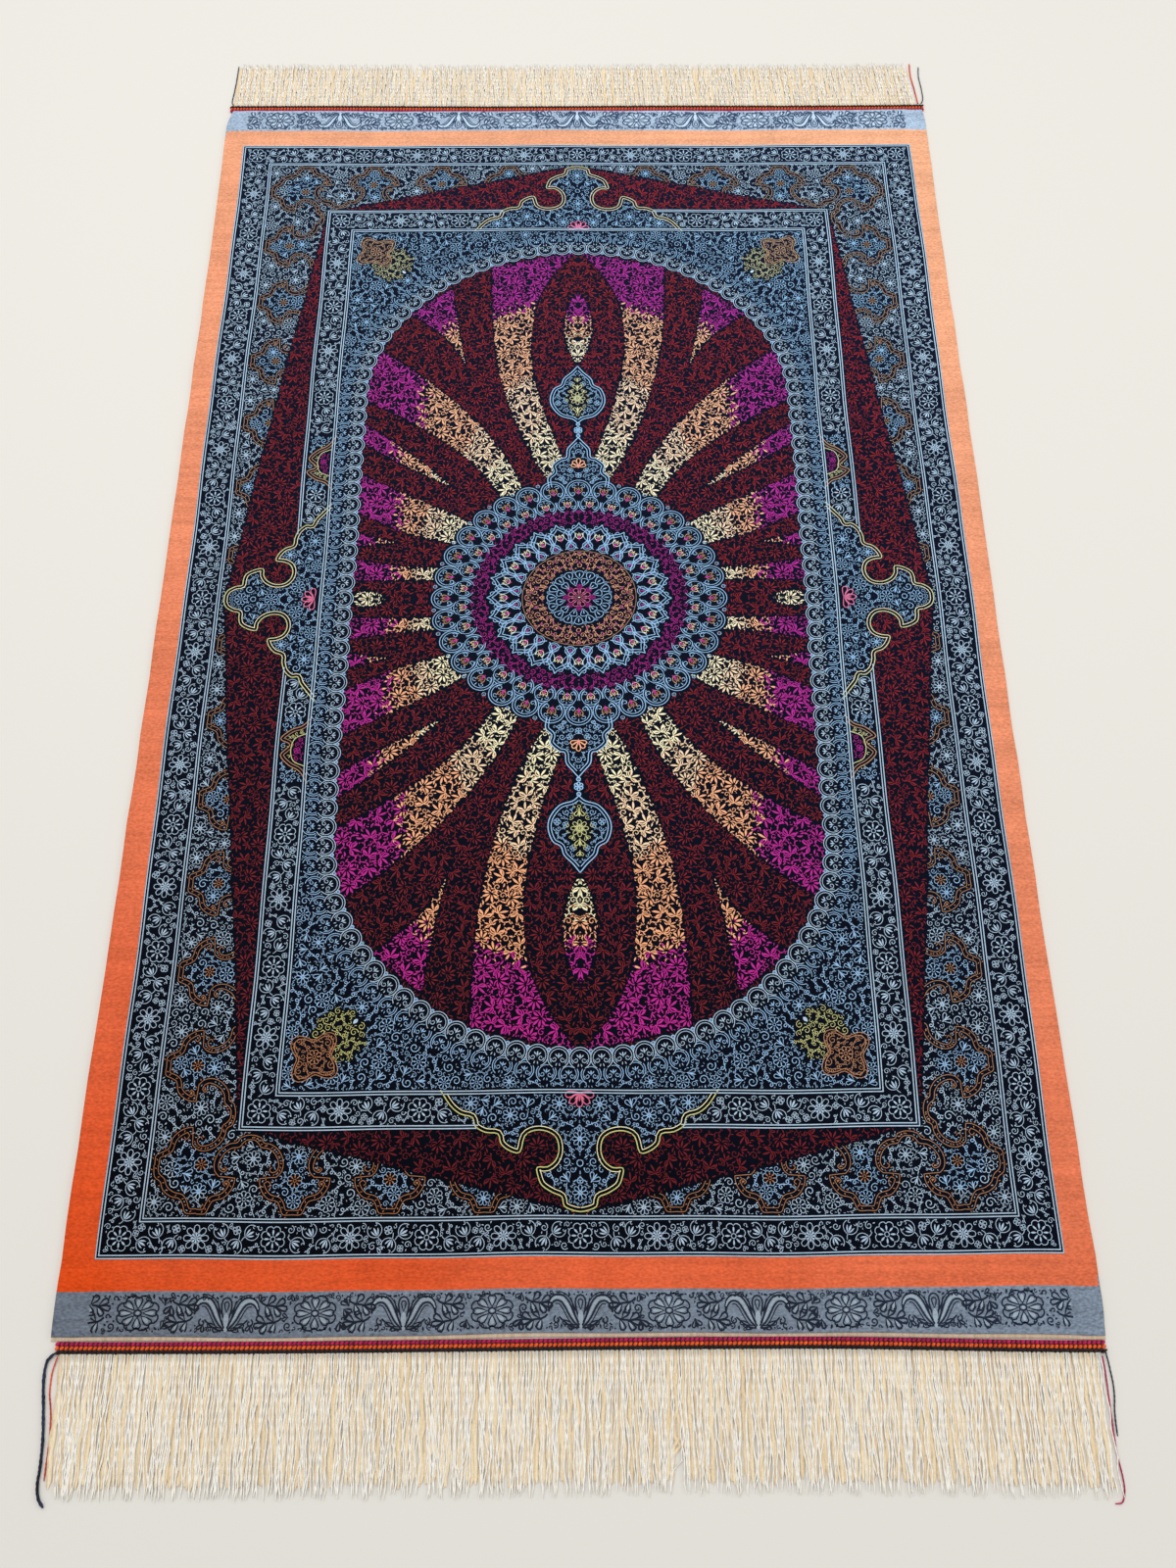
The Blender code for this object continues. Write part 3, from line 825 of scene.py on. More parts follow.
@dataclass(frozen=True)
class MainBorder:
    """The wide border: gold double lines that wander from bowl to arch over small blue flowers."""

    band: Band = Band(342.6, 558.0, 275.8, 491.8)
    end_bowl: float = 302.4
    side_bowl: float = 518.3
    end_pitch: float = 75.6
    side_pitch: float = 78.3
    line: float = 0.44
    half_wave: tuple[tuple[tuple[float, float], ...], ...] = (
        ((0, 63.3), (7, 63.2), (9.5, 58.5), (12.5, 53.5), (20, 51.5), (25, 46.5), (27.5, 41), (27.9, 36.3)),
        ((27.9, 36.3), (21, 35.6), (15, 35.2)),
        ((15, 35.2), (11.5, 31.5), (10.2, 26), (11.5, 20), (15.5, 14), (21.5, 10.2), (27, 9.2), (29.5, 5.2)),
        ((29.5, 5.2), (34, 3.6), (37.8, 3.2)),
        ((0, 59.9), (5.2, 59.8), (7, 55.5), (10.5, 50.6), (18, 48.4), (22, 44.5), (24.2, 40.2)),
        ((24.2, 40.2), (21.5, 38.4), (19.0, 40.6), (20.8, 42.4)),
        ((37.8, 6.8), (34.5, 7.2), (31.5, 9.6), (29, 12.6), (23, 13.6), (18, 17), (14.8, 22)),
        ((14.8, 22), (13.7, 26.5), (15, 30.2), (18.5, 31.8), (20.8, 29.6), (18.9, 27.8)),
    )  # along the band from the middle of a bowl to that of an arch, and across it
    corner: tuple[tuple[tuple[float, float], ...], ...] = (
        (
            (302.4, 555.1), (310.4, 554.9), (313.0, 549.6), (316.6, 544.2), (324.0, 542.2), (330.6, 537.4),
            (333.4, 531.2), (338.6, 527.0), (340.1, 518.3),
        ),
        (
            (302.4, 551.6), (308.0, 551.4), (310.4, 546.2), (314.4, 541.2), (322.0, 539.0), (327.6, 534.8),
            (330.4, 529.0), (335.4, 524.6), (336.7, 518.3),
        ),
    )  # from the last bowl of an end to that of a side

    def lines(self) -> list[Points]:
        """Every gold line over one quarter."""
        made = [smooth(route, 3) for route in self.corner]
        depth = (self.band.outer_x - self.band.inner_x) / 66.4
        runs = ((self.end_bowl, self.end_pitch, self.band.inner_y, 1), (self.side_bowl, self.side_pitch,
            self.band.inner_x, -1))
        for bowl, pitch, base, order in runs:
            for number in range(math.ceil(bowl / pitch) + 1):
                for way in (-1, 1) if number else (-1,):
                    for route in self.half_wave:
                        line = smooth(route, 3)
                        along = bowl - pitch * number + way * line[:, 0] * pitch / 75.6
                        made.append(pairs(along, base + line[:, 1] * depth)[:, ::order])
        return made

    def draw(self, ink: Ink, zone: Zone) -> None:
        """Draws the border.

        Args:
            ink: where it goes.
            zone: the part of the design that shows the border.
        """
        lines = self.lines()
        ink.draw([stroke(line, self.line) for line in lines], Tone.GOLD, zone)
        room = Room(lambda x, y: self.band.holds(x, y) & zone(x, y))
        leaves = []
        for line in lines:
            room.take_line(line, 0.95)
            for place, after in zip(line[2::3], line[3::3]):
                heading = math.degrees(math.atan2(*(after - place)[::-1]))
                leaves.append((*beside(np.array([place, after]), 1.7)[0], heading + 40, 1.0, 1))
        ink.stamp(Stamp.of(SEED, pen=0.6), leaves, Tone.GOLD, zone)
        ends = [(self.end_bowl - self.end_pitch * i, self.band.inner_y + 38) for i in range(1, 5)]
        sides = [(self.band.inner_x + 38, self.side_bowl - self.side_pitch * i) for i in range(1, 7)]
        bowls = [(self.end_bowl, self.side_bowl), *ends, *sides]

        def yarn(x: Points, y: Points) -> Points:
            """Blue inside the bowls, gold at their hearts and silver elsewhere."""
            near = np.min([np.hypot(x - bx, y - by) for bx, by in bowls], axis=0)
            return np.where(near < 5.2, Tone.GOLD, np.where(near < 22, Tone.BLUE, Tone.SILVER))

        ink.stamp(Stamp.of(ROSETTE, pen=FINE_PEN), [(x, y, 0, 1.0, 1) for x, y in bowls], yarn, zone)
        for x, y in bowls:
            room.take(x, y, 6.2)
        room.fill(ink, LACE_FILL, yarn, zone)


@dataclass(frozen=True)
class Lace:
    """The scalloped edge of the oval: two rows of round lobes, with small rings in the notches."""

    inner: Points = field(default_factory=lambda: PLAN.oval_rim(8.2, 17.6))
    outer: Points = field(default_factory=lambda: PLAN.oval_rim(21.4, 17.6 * 1.04))

    def holds(self, x: Points, y: Points) -> Points:
        """True on the inner row's lobes, which bite into the oval."""
        found = np.zeros(x.shape, bool)
        for cx, cy, _ in self.inner:
            found |= (x - cx) ** 2 + (y - cy) ** 2 < 9.7**2
        return found

    def draw(self, ink: Ink, room: Room) -> None:
        """Draws both rows and marks their ground as taken.

        Args:
            ink: where they go.
            room: the ground outside the oval.
        """
        outer, between = (0.5 * (row[1:] + row[:-1]) for row in (self.outer, self.inner))
        stamp = Stamp.of(LOBE, 9.1, 0.62)
        ink.stamp(stamp, [(x, y, heading + 180, 1.0, 1) for x, y, heading in self.inner], Tone.SILVER)
        behind: Zone = lambda x, y: ~self.holds(x, y) & (x < PLAN.inner.inner_x + 0.5)
        ink.stamp(stamp, [(x, y, heading + 180, 0.9, 1) for x, y, heading in outer], Tone.BLUE, behind)
        outward = np.radians(between[:, 2])
        notches = between[:, :2] - 5.6 * pairs(np.cos(outward), np.sin(outward))
        ink.stamp(Stamp.of(EYELET), [(x, y, 0, 0.95, 1) for x, y in notches], Tone.BLUE)
        for row, radius in ((self.inner, 9.7), (outer, 8.7)):
            for x, y, _ in row:
                room.take(x, y, radius)


@dataclass(frozen=True)
class CornerMedal:
    """The small medal in each corner of the inner field: a gold figure of four lobes over a lime cluster."""

    gold_at: tuple[float, float] = (219.0, 432.6)
    lime_at: tuple[float, float] = (200.0, 415.0)
    gold_turn: float = 52.0
    gold_reach: float = 24.0
    lime_reach: float = 24.5

    def gold_edge(self, angle: Points) -> Points:
        """How far the gold figure's four lobes reach at an angle."""
        return self.gold_reach * (0.80 + 0.20 * np.cos(4 * (angle - math.radians(self.gold_turn))))

    def on_gold(self, x: Points, y: Points) -> Points:
        """True inside the gold figure's four lobes."""
        x, y = x - self.gold_at[0], y - self.gold_at[1]
        return np.hypot(x, y) < self.gold_edge(np.arctan2(y, x))

    def on_lime(self, x: Points, y: Points) -> Points:
        """True inside the lime cluster, where the gold figure doesn't cover it."""
        u, v = x - self.lime_at[0], y - self.lime_at[1]
        edge = self.lime_reach * (0.94 + 0.06 * np.cos(9 * np.arctan2(v, u)))
        return (np.hypot(u, v) < edge) & ~self.on_gold(x, y)

    def draw(self, ink: Ink, room: Room) -> None:
        """Draws it and marks its ground as taken.

        Args:
            ink: where it goes.
            room: the ground round it.
        """
        gx, gy = self.gold_at
        lx, ly = self.lime_at
        theta = np.linspace(0, 2 * math.pi, 49)
        reach = self.gold_edge(theta)
        for share in (1.0, 0.86):
            line = pairs(gx + share * reach * np.cos(theta), gy + share * reach * np.sin(theta))
            ink.draw([stroke(line, 0.55)], Tone.GOLD)
        tip = (lx - 12.5, ly - 11.5)
        ink.stamp(Stamp.of(ROSETTE, pen=0.6), [(gx, gy, self.gold_turn, 1.0, 1)], Tone.GOLD)
        ink.stamp(Stamp.of([petal(-2.6, 0, 0, 5.2, 3.0)]), [(*tip, 225, 1.0, 1)], Tone.SILVER)
        gold_room, lime_room = Room(self.on_gold), Room(self.on_lime)
        gold_room.take(gx, gy, 6.2)
        lime_room.take(*tip, 3.2)
        gold_room.fill(ink, RING_FILL, Tone.GOLD, self.on_gold, 1.12)
        lime_room.fill(ink, RING_FILL, Tone.LIME, self.on_lime, 1.12)
        room.take(gx, gy, self.gold_reach * 0.7)
        room.take(lx, ly, self.lime_reach * 0.85)


@dataclass(frozen=True)
class Medallion:
    """The round medallion: rings of petals, lattice and scrolls round a pink rosette."""

    lobes: int = 32
    ogees: int = 24
    lobe_at: float = 0.905
    inner_lobe_at: float = 0.785
    lobe_size: float = 0.090

    def lobe_gap(self, x: Points, y: Points) -> Points:
        """How far a point is from the middle of the nearest lobe of the rim, as a share of the radius."""
        u, v = x / PLAN.medallion_x, y / PLAN.medallion_y
        step = 2 * math.pi / self.lobes
        angle = np.mod(np.arctan2(v, u) + step / 2, step) - step / 2
        return np.hypot(np.hypot(u, v) * np.cos(angle) - self.lobe_at, np.hypot(u, v) * np.sin(angle))

    def covers(self, x: Points, y: Points) -> Points:
        """True on the medallion, with its scalloped rim."""
        return (PLAN.medallion_share(x, y) < self.lobe_at) | (self.lobe_gap(x, y) < self.lobe_size + 0.008)

    def place(self, ink: Ink, strips: Sequence[Strip], at: float, size: float, count: int, tone: Tone,
        offset: float = 0.0, zone: Zone | None = None) -> None:
        """Sets a motif round a ring.

        Args:
            ink: where it goes.
            strips: the motif in millimetres, reaching towards +x.
            at: the ring's radius, as a share.
            size: the motif's scale.
            count: how many.
            tone: the yarn of strips that name none.
            offset: a share of one step by which the ring is turned.
            zone: ink outside it is left out.
        """
        angles = (np.arange(count) + offset) * 360.0 / count
        rows = [(at * math.cos(math.radians(a)), at * math.sin(math.radians(a)), a, 1.0, 1) for a in angles]
        stamp = Stamp.of(turned(strips, size=size / PLAN.medallion_x), pen=0.52)
        ink.stamp(stamp, rows, tone, zone, (PLAN.medallion_x, PLAN.medallion_y))

    def tulip_heart(self, outer: Tone, heart: Tone) -> list[Strip]:
        """The small two-coloured bud inside a lobe."""
        return [petal(-5.2, 0, 0, 5.2, 3.6, tone=heart, count=5),
            *mirrored(stroke(bezier((-3.6, 0.6), (-2.0, 3.6), (1.0, 3.8), (2.6, 2.6), 6), 0.9, tone=outer)),
            *mirrored(stroke(curl_line(0.6, 2.2, 1.7, 200, 0.8, 0.4, 6), 0.8, tone=outer)),
            petal(-0.4, 0, 0, 3.4, 1.3, tone=outer, count=4)]

    def rim_lobe(self, outer: Tone) -> list[Strip]:
        """One round lobe of the rim, opening towards the middle."""
        return [stroke(arc(0, 0, 12.2, -158, 158, 20), 1.3), stroke(arc(-0.4, 0, 9.9, -146, 146, 16), 1.1),
            *mirrored(stroke(curl_line(-4.6, 5.4, 3.1, 60, 1.05, 0.3, 10), 1.1)),
            *mirrored(stroke(curl_line(4.0, 4.6, 2.6, -70, 0.9, 0.35, 8), 1.0)), petal(5.2, 0, 0, 3.4, 1.5,
            count=4), *turned(self.tulip_heart(outer, Tone.MAGENTA), size=1.2)]

    def ogee(self) -> list[Strip]:
        """One pointed petal of the middle ring, from its foot at the origin."""
        side = bezier((0.4, 1.2), (7.0, 11.0), (17.0, 10.6), (20.6, 4.6), 10)
        tip = bezier((20.6, 4.6), (21.8, 2.6), (23.2, 1.2), (26.2, 0.0), 4)
        inner = bezier((5.0, 3.4), (9.0, 8.4), (15.6, 8.2), (18.6, 3.0), 9)
        return [*mirrored(stroke(np.concatenate([side, tip[1:]]), 1.3)),
            *mirrored(stroke(np.concatenate([inner, [(22.0, 0.0)]]), 1.1)),
            *mirrored(stroke(bezier((20.2, 5.4), (23.0, 6.0), (24.2, 4.4), (23.2, 3.0), 5), 1.0)),
            *turned(self.tulip_heart(Tone.CREAM, Tone.MAGENTA), x=13.4, size=0.95)]

    def draw(self, ink: Ink) -> None:
        """Draws the medallion, from the rim to its heart."""
        blue, rose = Tone.BLUE, Tone.MAGENTA
        bead = [ring(5.0, 1.2, 12), ring(3.2, 0.9, 9), petal(-2.6, 0, 0, 4.6, 2.2, tone=rose)]
        knot = [*around([outline(0.6, 0, 45, 3.0, 2.6, 0.9, count=8)], 4),
            *around([petal(2.0, 0, 0, 2.2, 0.8, count=4)], 4)]
        arch = mirrored(stroke(bezier((0, 1.0), (5, 7.4), (11, 7.4), (15, 0.6), 8), 1.1))
        rose_petal = [outline(0, 0, 0, 9.0, 5.0, 1.0), *mirrored(petal(3.4, 0.5, 38, 2.8, 1.0))]
        rows = ((self.rim_lobe(Tone.GOLD), self.lobe_at, 1.0, self.lobes, blue, 0.0), (EYELET, 0.975, 1.25,
            self.lobes, blue, 0.5), (turned(self.ogee(), size=1.20), 0.400, 1.0, self.ogees, blue, 0.0),
            (bead, 0.428, 1.0, self.ogees, blue, 0.5), (arch, 0.468, 1.0, self.ogees, blue, 0.5),
            (CURL, 0.508, 1.0, self.ogees, rose, 0.5), (BUD, 0.545, 0.9, self.ogees, blue, 0.5),
            ([outline(0, 0, 0, 9.6, 8.4, 1.2, fullness=1.1), petal(2.2, 0, 0, 5.0, 1.8)], 0.150, 1.0, 16,
            blue, 0.0), ([outline(0, 0, 0, 8.6, 7.4, 1.1), petal(1.8, 0, 0, 4.2, 1.6)], 0.096, 1.0, 12,
            blue, 0.5), (EYELET, 0.212, 0.9, 16, blue, 0.5), (rose_petal, 0.014, 1.0, 8, Tone.PINK, 0.5),
            (knot, 0.088, 0.8, 8, rose, 0.0), ([dot(0, 0, 1.0)], 0.105, 1.0, 4, Tone.LIME, 0.5),
            ([dot(0, 0, 1.2)], 0.0, 1.0, 1, Tone.CREAM, 0.0), (self.rim_lobe(Tone.SAND), self.inner_lobe_at,
            0.88, self.lobes, blue, 0.5, lambda x, y: self.lobe_gap(x, y) > self.lobe_size),
            ([stroke(arc(0, 0, 0.382 * PLAN.medallion_x, 0, 360, 97), 0.8)], 0.0, 1.0, 1, Tone.GOLD))
        for row in rows:
            self.place(ink, *row)
        room = Room(lambda x, y: (PLAN.medallion_share(x, y) > 0.605) & (PLAN.medallion_share(x, y) < 0.735))
        for angle in np.arange(self.ogees) * 2 * math.pi / self.ogees:
            x, y = 0.6 * PLAN.medallion_x * math.cos(angle), 0.6 * PLAN.medallion_y * math.sin(angle)
            room.take(x, y, 4.0)
        room.fill(ink, RING_FILL, rose)

        def lattice(x: Points, y: Points) -> Points:
            """Gold, peach and pink by turns."""
            wave = np.sin(x * 0.55 + 1.0) * np.sin(y * 0.55 + 2.0)
            return np.where(wave < -0.45, Tone.PINK, np.where(wave > -0.1, Tone.PEACH, Tone.GOLD))

        room = Room(lambda x, y: (PLAN.medallion_share(x, y) > 0.232) & (PLAN.medallion_share(x, y) < 0.378))
        room.fill(ink, RING_FILL, lattice, spread=1.12)


@dataclass(frozen=True)
class Pendants:
    """What hangs above the medallion on the long axis: a palmette, a link and a shield."""

    palmette_foot: float = 130.0
    palmette_tip: float = 186.0
    palmette_half: float = 30.6
    shield_foot: float = 203.8
    shield_tip: float = 276.0
    shield_half: float = 28.0

    def shield_edge(self, grow: float = 0.0) -> Points:
        """Half of the shield's outline, from its foot to its tip."""
        low, high, half = self.shield_foot - grow, self.shield_tip + grow, self.shield_half + grow
        shares = ((0.20, 5), (0.62, 9), (0.93, 20), (1.0, 31), (0.86, 43), (0.60, 48), (0.50, 56))
        body = [(half * share, low + rise) for share, rise in shares]
        return smooth([(0.0, low), *body, (half * 0.22, high - 8), (0.0, high)])

    def palmette_edge(self) -> Points:
        """Half of the palmette's outline, from the medallion's rim to its tip."""
        shares = ((0.96, -4), (0.99, 7), (0.80, 14), (0.84, 22), (0.58, 30), (0.40, 32), (0.36, 42),
            (0.16, 50))
        body = [(self.palmette_half * share, self.palmette_foot + rise) for share, rise in shares]
        return smooth([*body, (0.0, self.palmette_tip)])

    def within(self, shield: Points, palmette: Points, x: Points, y: Points) -> Points:
        """True inside either of two half outlines."""
        first, second = (
            inside(np.concatenate([edge, [(-5.0, edge[-1, 1]), (-5.0, edge[0, 1])]]), x, y)
            for edge in (shield, palmette)
        )
        return first | second

    def holds(self, x: Points, y: Points) -> Points:
        """True on the shield, the link and the palmette."""
        x, y = abs(x), abs(y)
        link = (x < 5.0) & (y > self.palmette_tip - 6) & (y < self.shield_foot + 4)
        return self.within(self.shield_edge(1.0), self.palmette_edge(), x, y) | link

    def draw(self, ink: Ink, medallion: Medallion) -> None:
        """Draws them.

        Args:
            ink: where they go.
            medallion: what covers the palmette's foot.
        """
        shield, palmette = self.shield_edge(), self.palmette_edge()
        seconds = [stroke(beside(shield, 2.8)[2:-2], 0.75), stroke(beside(palmette, 2.8)[:-3], 0.75)]
        ink.draw([stroke(shield, 0.95), seconds[0], stroke(palmette, 0.95), seconds[1]], Tone.BLUE)
        middle = 0.5 * (self.palmette_tip + self.shield_foot)
        core = self.shield_foot + 31
        crown = self.palmette_foot + 24
        tree = [*around([outline(1.4, 0, 0, 7.4, 3.8, 1.1, fullness=1.2)], 8),
            *around([petal(1.0, 0, 0, 4.0, 1.6)], 8), dot(0, 0, 1.1)]
        turns = (0, 36, -36, 70, -70)
        rays = [outline(-4.0, 0, angle, 10.4 - abs(angle) * 0.04, 4.0, 0.9) for angle in turns]
        buds = [(x, core + rise, angle, size, 1) for x, rise, angle, size in
            ((0, -14, 90, 1.25), (0, 14, 90, 1.25), (0, 24, 90, 0.9), (6.5, 9, 60, 0.8))]
        for strips, pen, places, tone in ((FLORET, 1.0, [(0, middle, 90, 0.95, 1)], Tone.BLUE),
            (EYELET, 1.0, [(0, middle + 7.4, 90, 1.2, 1), (0, middle - 7.0, 90, 1.2, 1)], Tone.BLUE),
            (tree, 0.55, [(0, core, 90, 0.9, 1)], Tone.LIME), (BUD, 0.6, buds, Tone.LIME),
            (rays, 1.0, [(0, crown, 90, 1.0, 1)], Tone.PEACH), ([petal(-2.8, 0, 0, 6.0, 2.8)], 1.0,
            [(0, crown - 3, 90, 1.0, 1)], Tone.PINK)):
            ink.stamp(Stamp.of(strips, pen=pen), places, tone)
        edges = beside(shield, 3.6), beside(palmette, 3.6)
        room = Room(lambda x, y: self.within(*edges, x, y) & ~medallion.covers(x, y))
        for x, y, radius in ((0, core, 9.4), (0, crown, 8.0), *((x, y, 4.0) for x, y, *_ in buds)):
            room.take(x, y, radius)
        yarn: Zone = lambda x, y: np.where(1.5 * x + 0.62 * abs(y - core) < 19.0, Tone.LIME, Tone.BLUE)
        room.fill(ink, FINE_FILL, yarn)


class Rays:
    """The leafy ground of the oval and of the red points, its yarn changed along each ray."""

    def flame(self, x: Points, y: Points) -> Points:
        """True in the small light flames on the two axes."""
        side = 9.0 * np.sin(np.clip((x - 182) / 40, 0, 1) * math.pi) ** 0.8
        end = 15.0 * np.sin(np.clip((y - 279) / 96, 0, 1) * math.pi) ** 0.7
        return (x > 183) & (abs(y) < side) | (y > 279) & (y < 375) & (abs(x) < end)

    def yarn(self, x: Points, y: Points) -> Points:
        """The yarn at a place in the oval.

        Args:
            x, y: the places.

        Returns:
            Each place's yarn.
        """
        drift = 5.0 * np.sin(x * 0.71 + 1.3 * np.sin(y * 0.33))
        drift = drift + 5.0 * np.sin(y * 0.63 + 1.7 * np.sin(x * 0.41))
        depth = PLAN.oval_depth(x, y)
        rim = depth + drift
        found = np.full(x.shape, Tone.CRIMSON)
        away = (PLAN.medallion_share(x, y) - 0.95) * 139 + 1.3 * drift
        for ray in PLAN.rays:
            share = away / np.maximum(away + np.maximum(depth - ray.magenta, 0), 1.0)
            light = np.select([share > 0.62, share < 0.38], [Tone.PEACH, Tone.CREAM], Tone.SAND)
            found = np.where(ray.holds(x, y), np.where(rim < ray.magenta, Tone.MAGENTA, light), found)
        for wedge in PLAN.wedges:
            light = np.where(rim > 2.1 * wedge.magenta, Tone.CREAM, Tone.PEACH)
            found = np.where(wedge.holds(x, y), np.where(rim < wedge.magenta, Tone.MAGENTA, light), found)
        glow = np.select([y > 338 + drift, y < 312 + drift], [Tone.MAGENTA, Tone.CREAM], Tone.PEACH)
        return np.where(self.flame(x, y), glow, found)

    def draw(self, oval: Ink, wings: Ink, oval_zone: Zone, wing_zone: Zone) -> None:
        """Fills the oval and the red points with leaves and lilies.

        Args:
            oval: the ink inside the oval.
            wings: the ink of the red points.
            oval_zone: the oval's free ground.
            wing_zone: the points' free ground.
        """
        light: Zone = lambda x, y: oval_zone(x, y) & (self.yarn(x, y) != Tone.CRIMSON)
        dark: Zone = lambda x, y: oval_zone(x, y) & (self.yarn(x, y) == Tone.CRIMSON)
        Room(light).fill(oval, LIGHT_FILL, self.yarn, light, 1.14)
        Room(dark).fill(oval, DARK_FILL, Tone.CRIMSON, dark, 1.04)
        Room(wing_zone).fill(wings, DARK_FILL, Tone.CRIMSON, wing_zone)


@dataclass(frozen=True)
class EndBand:
    """The grey-blue band across each end: palmettes and rosettes by turns, and leaves between."""

    middle: float = 627.2
    pitch: float = 67.9
    half: float = 13.4
    reach: float = 376.0

    def palmette(self) -> list[Strip]:
        """A palmette that opens towards +x: a tall bud between long petals that curl over."""
        curl = np.concatenate([bezier((-10.6, 2.4), (-6.0, 9.0), (2.4, 10.6), (6.0, 14.6), 7),
            bezier((6.0, 14.6), (8.6, 18.2), (7.2, 23.0), (-1.0, 24.4), 7)[1:]])
        upper = np.concatenate([bezier((-8.0, 1.8), (-1.0, 6.6), (6.4, 6.8), (10.4, 12.6), 7),
            bezier((10.4, 12.6), (13.4, 18.6), (10.2, 26.6), (-1.0, 24.4), 7)[1:]])
        swell = 1.2 * np.sin(np.linspace(0.08, math.pi, len(curl))) ** 0.7
        return [*mirrored(Strip(0.5 * (curl + upper), swell, Tone.PALE)), petal(-11.0, 0, 0, 12.0, 4.2,
            tone=Tone.PALE), *mirrored(stroke(curl, 1.25), stroke(upper, 1.25)), outline(-11.4, 0, 0, 22.6,
            8.0, 1.25, count=13), outline(0.6, 0, 0, 7.6, 3.6, 1.0),
            *mirrored(stroke(bezier((-11.0, 0.6), (-5.0, 5.6), (2.0, 4.6), (9.0, 7.4), 7), 1.1)),
            *mirrored(stroke(bezier((-11.6, 1.0), (-13.0, 7.0), (-8.6, 12.0), (-4.4, 16.6), 8), 1.25)),
            *mirrored(stroke(curl_line(-6.6, 18.2, 2.9, 20, 0.95, 0.35, 9), 1.15)),
            *mirrored(stroke(beside(curl, 2.2)[1:-3], 0.8), stroke(beside(upper, -1.9)[2:-4], 0.8)),
            *mirrored(outline(-10.6, 1.6, 98, 8.4, 3.4, count=7), outline(-9.4, 6.2, 80, 8.0, 3.2,
            count=7)), dot(-11.4, 0, 1.5, Tone.PALE)]

    def branch(self) -> list[Strip]:
        """A stem towards +x with outlined leaves on both sides."""
        feet = ((-4.2, 0.2, 62), (-3.2, -0.2, -58), (0.6, 0.4, 46), (1.6, -0.2, -40))
        return [*(petal(x, y, angle, 4.4, 1.3, tone=Tone.PALE, count=4) for x, y, angle in ((-3.8, 0.9, 62),
            (1.0, 1.0, 46))), *(outline(x, y, angle, 6.2, 3.4, 1.1, count=7) for x, y, angle in feet),
            outline(2.2, 0.2, 4, 6.4, 3.2, 1.1, count=7), stroke(bezier((-8.0, -1.8), (-5.0, 1.6),
            (0, -0.8), (3.2, 0.4), 7), 1.1)]

    def rosette(self) -> list[Strip]:
        """A wide rosette: ringed eye, eight outlined petals with pale hearts, scalloped rim."""
        flower = [*around([petal(4.0, 0, 0, 5.8, 2.9, tone=Tone.PALE)], 8),
            *around([outline(2.9, 0, 0, 8.2, 4.8, 1.15)], 8), ring(2.2, 1.2), dot(0, 0, 1.3, Tone.PALE),
            scallops(12.8, 2.4, 1.25, 5)]
        return [Strip(strip.line * (1.0, 1.3), strip.half, strip.tone) for strip in flower]

    def holds(self, x: Points, y: Points) -> Points:
        """True on the row of flowers."""
        ragged = 1.0 * np.sin(abs(x) * 0.37) + 0.8 * np.sin(abs(x) * 0.83)
        return (abs(x) < self.reach + ragged) & (abs(abs(y) - self.middle) < self.half + 0.5 * ragged)

    def draw(self, ink: Ink) -> None:
        """Draws the row of flowers at both ends."""
        room = Room(self.holds)
        palmettes, rosettes, branches = [], [], []
        for i in range(6):
            x = self.pitch * i
            (rosettes if i % 2 else palmettes).append((x, self.middle, -90, 1.0, 1))
            for across, radius in ((-11, 9.6), (0, 11.4), (11, 9.6)):
                room.take(x + across, self.middle, radius)
            if not i % 2:
                for across in (-20, 20):
                    room.take(x + across, self.middle - 1.0, 8.6)
            for rise, way in ((6.4, 1), (-5.6, -1)):
                x = self.pitch * (i + 0.5) + 1.5 * way
                branches.append((x, self.middle + rise, 90 - 90 * way + 8 * way, 1.3, way))
                for across in (-6, 3):
                    room.take(x + across, self.middle + rise, 5.4)
        ink.stamp(Stamp.of(self.branch()), branches, Tone.NAVY, self.holds)
        ink.stamp(Stamp.of(self.palmette()), palmettes, Tone.NAVY)
        ink.stamp(Stamp.of(self.rosette()), rosettes, Tone.NAVY)
        room.fill(ink, BAND_FILL, Tone.NAVY, None, 1.12)


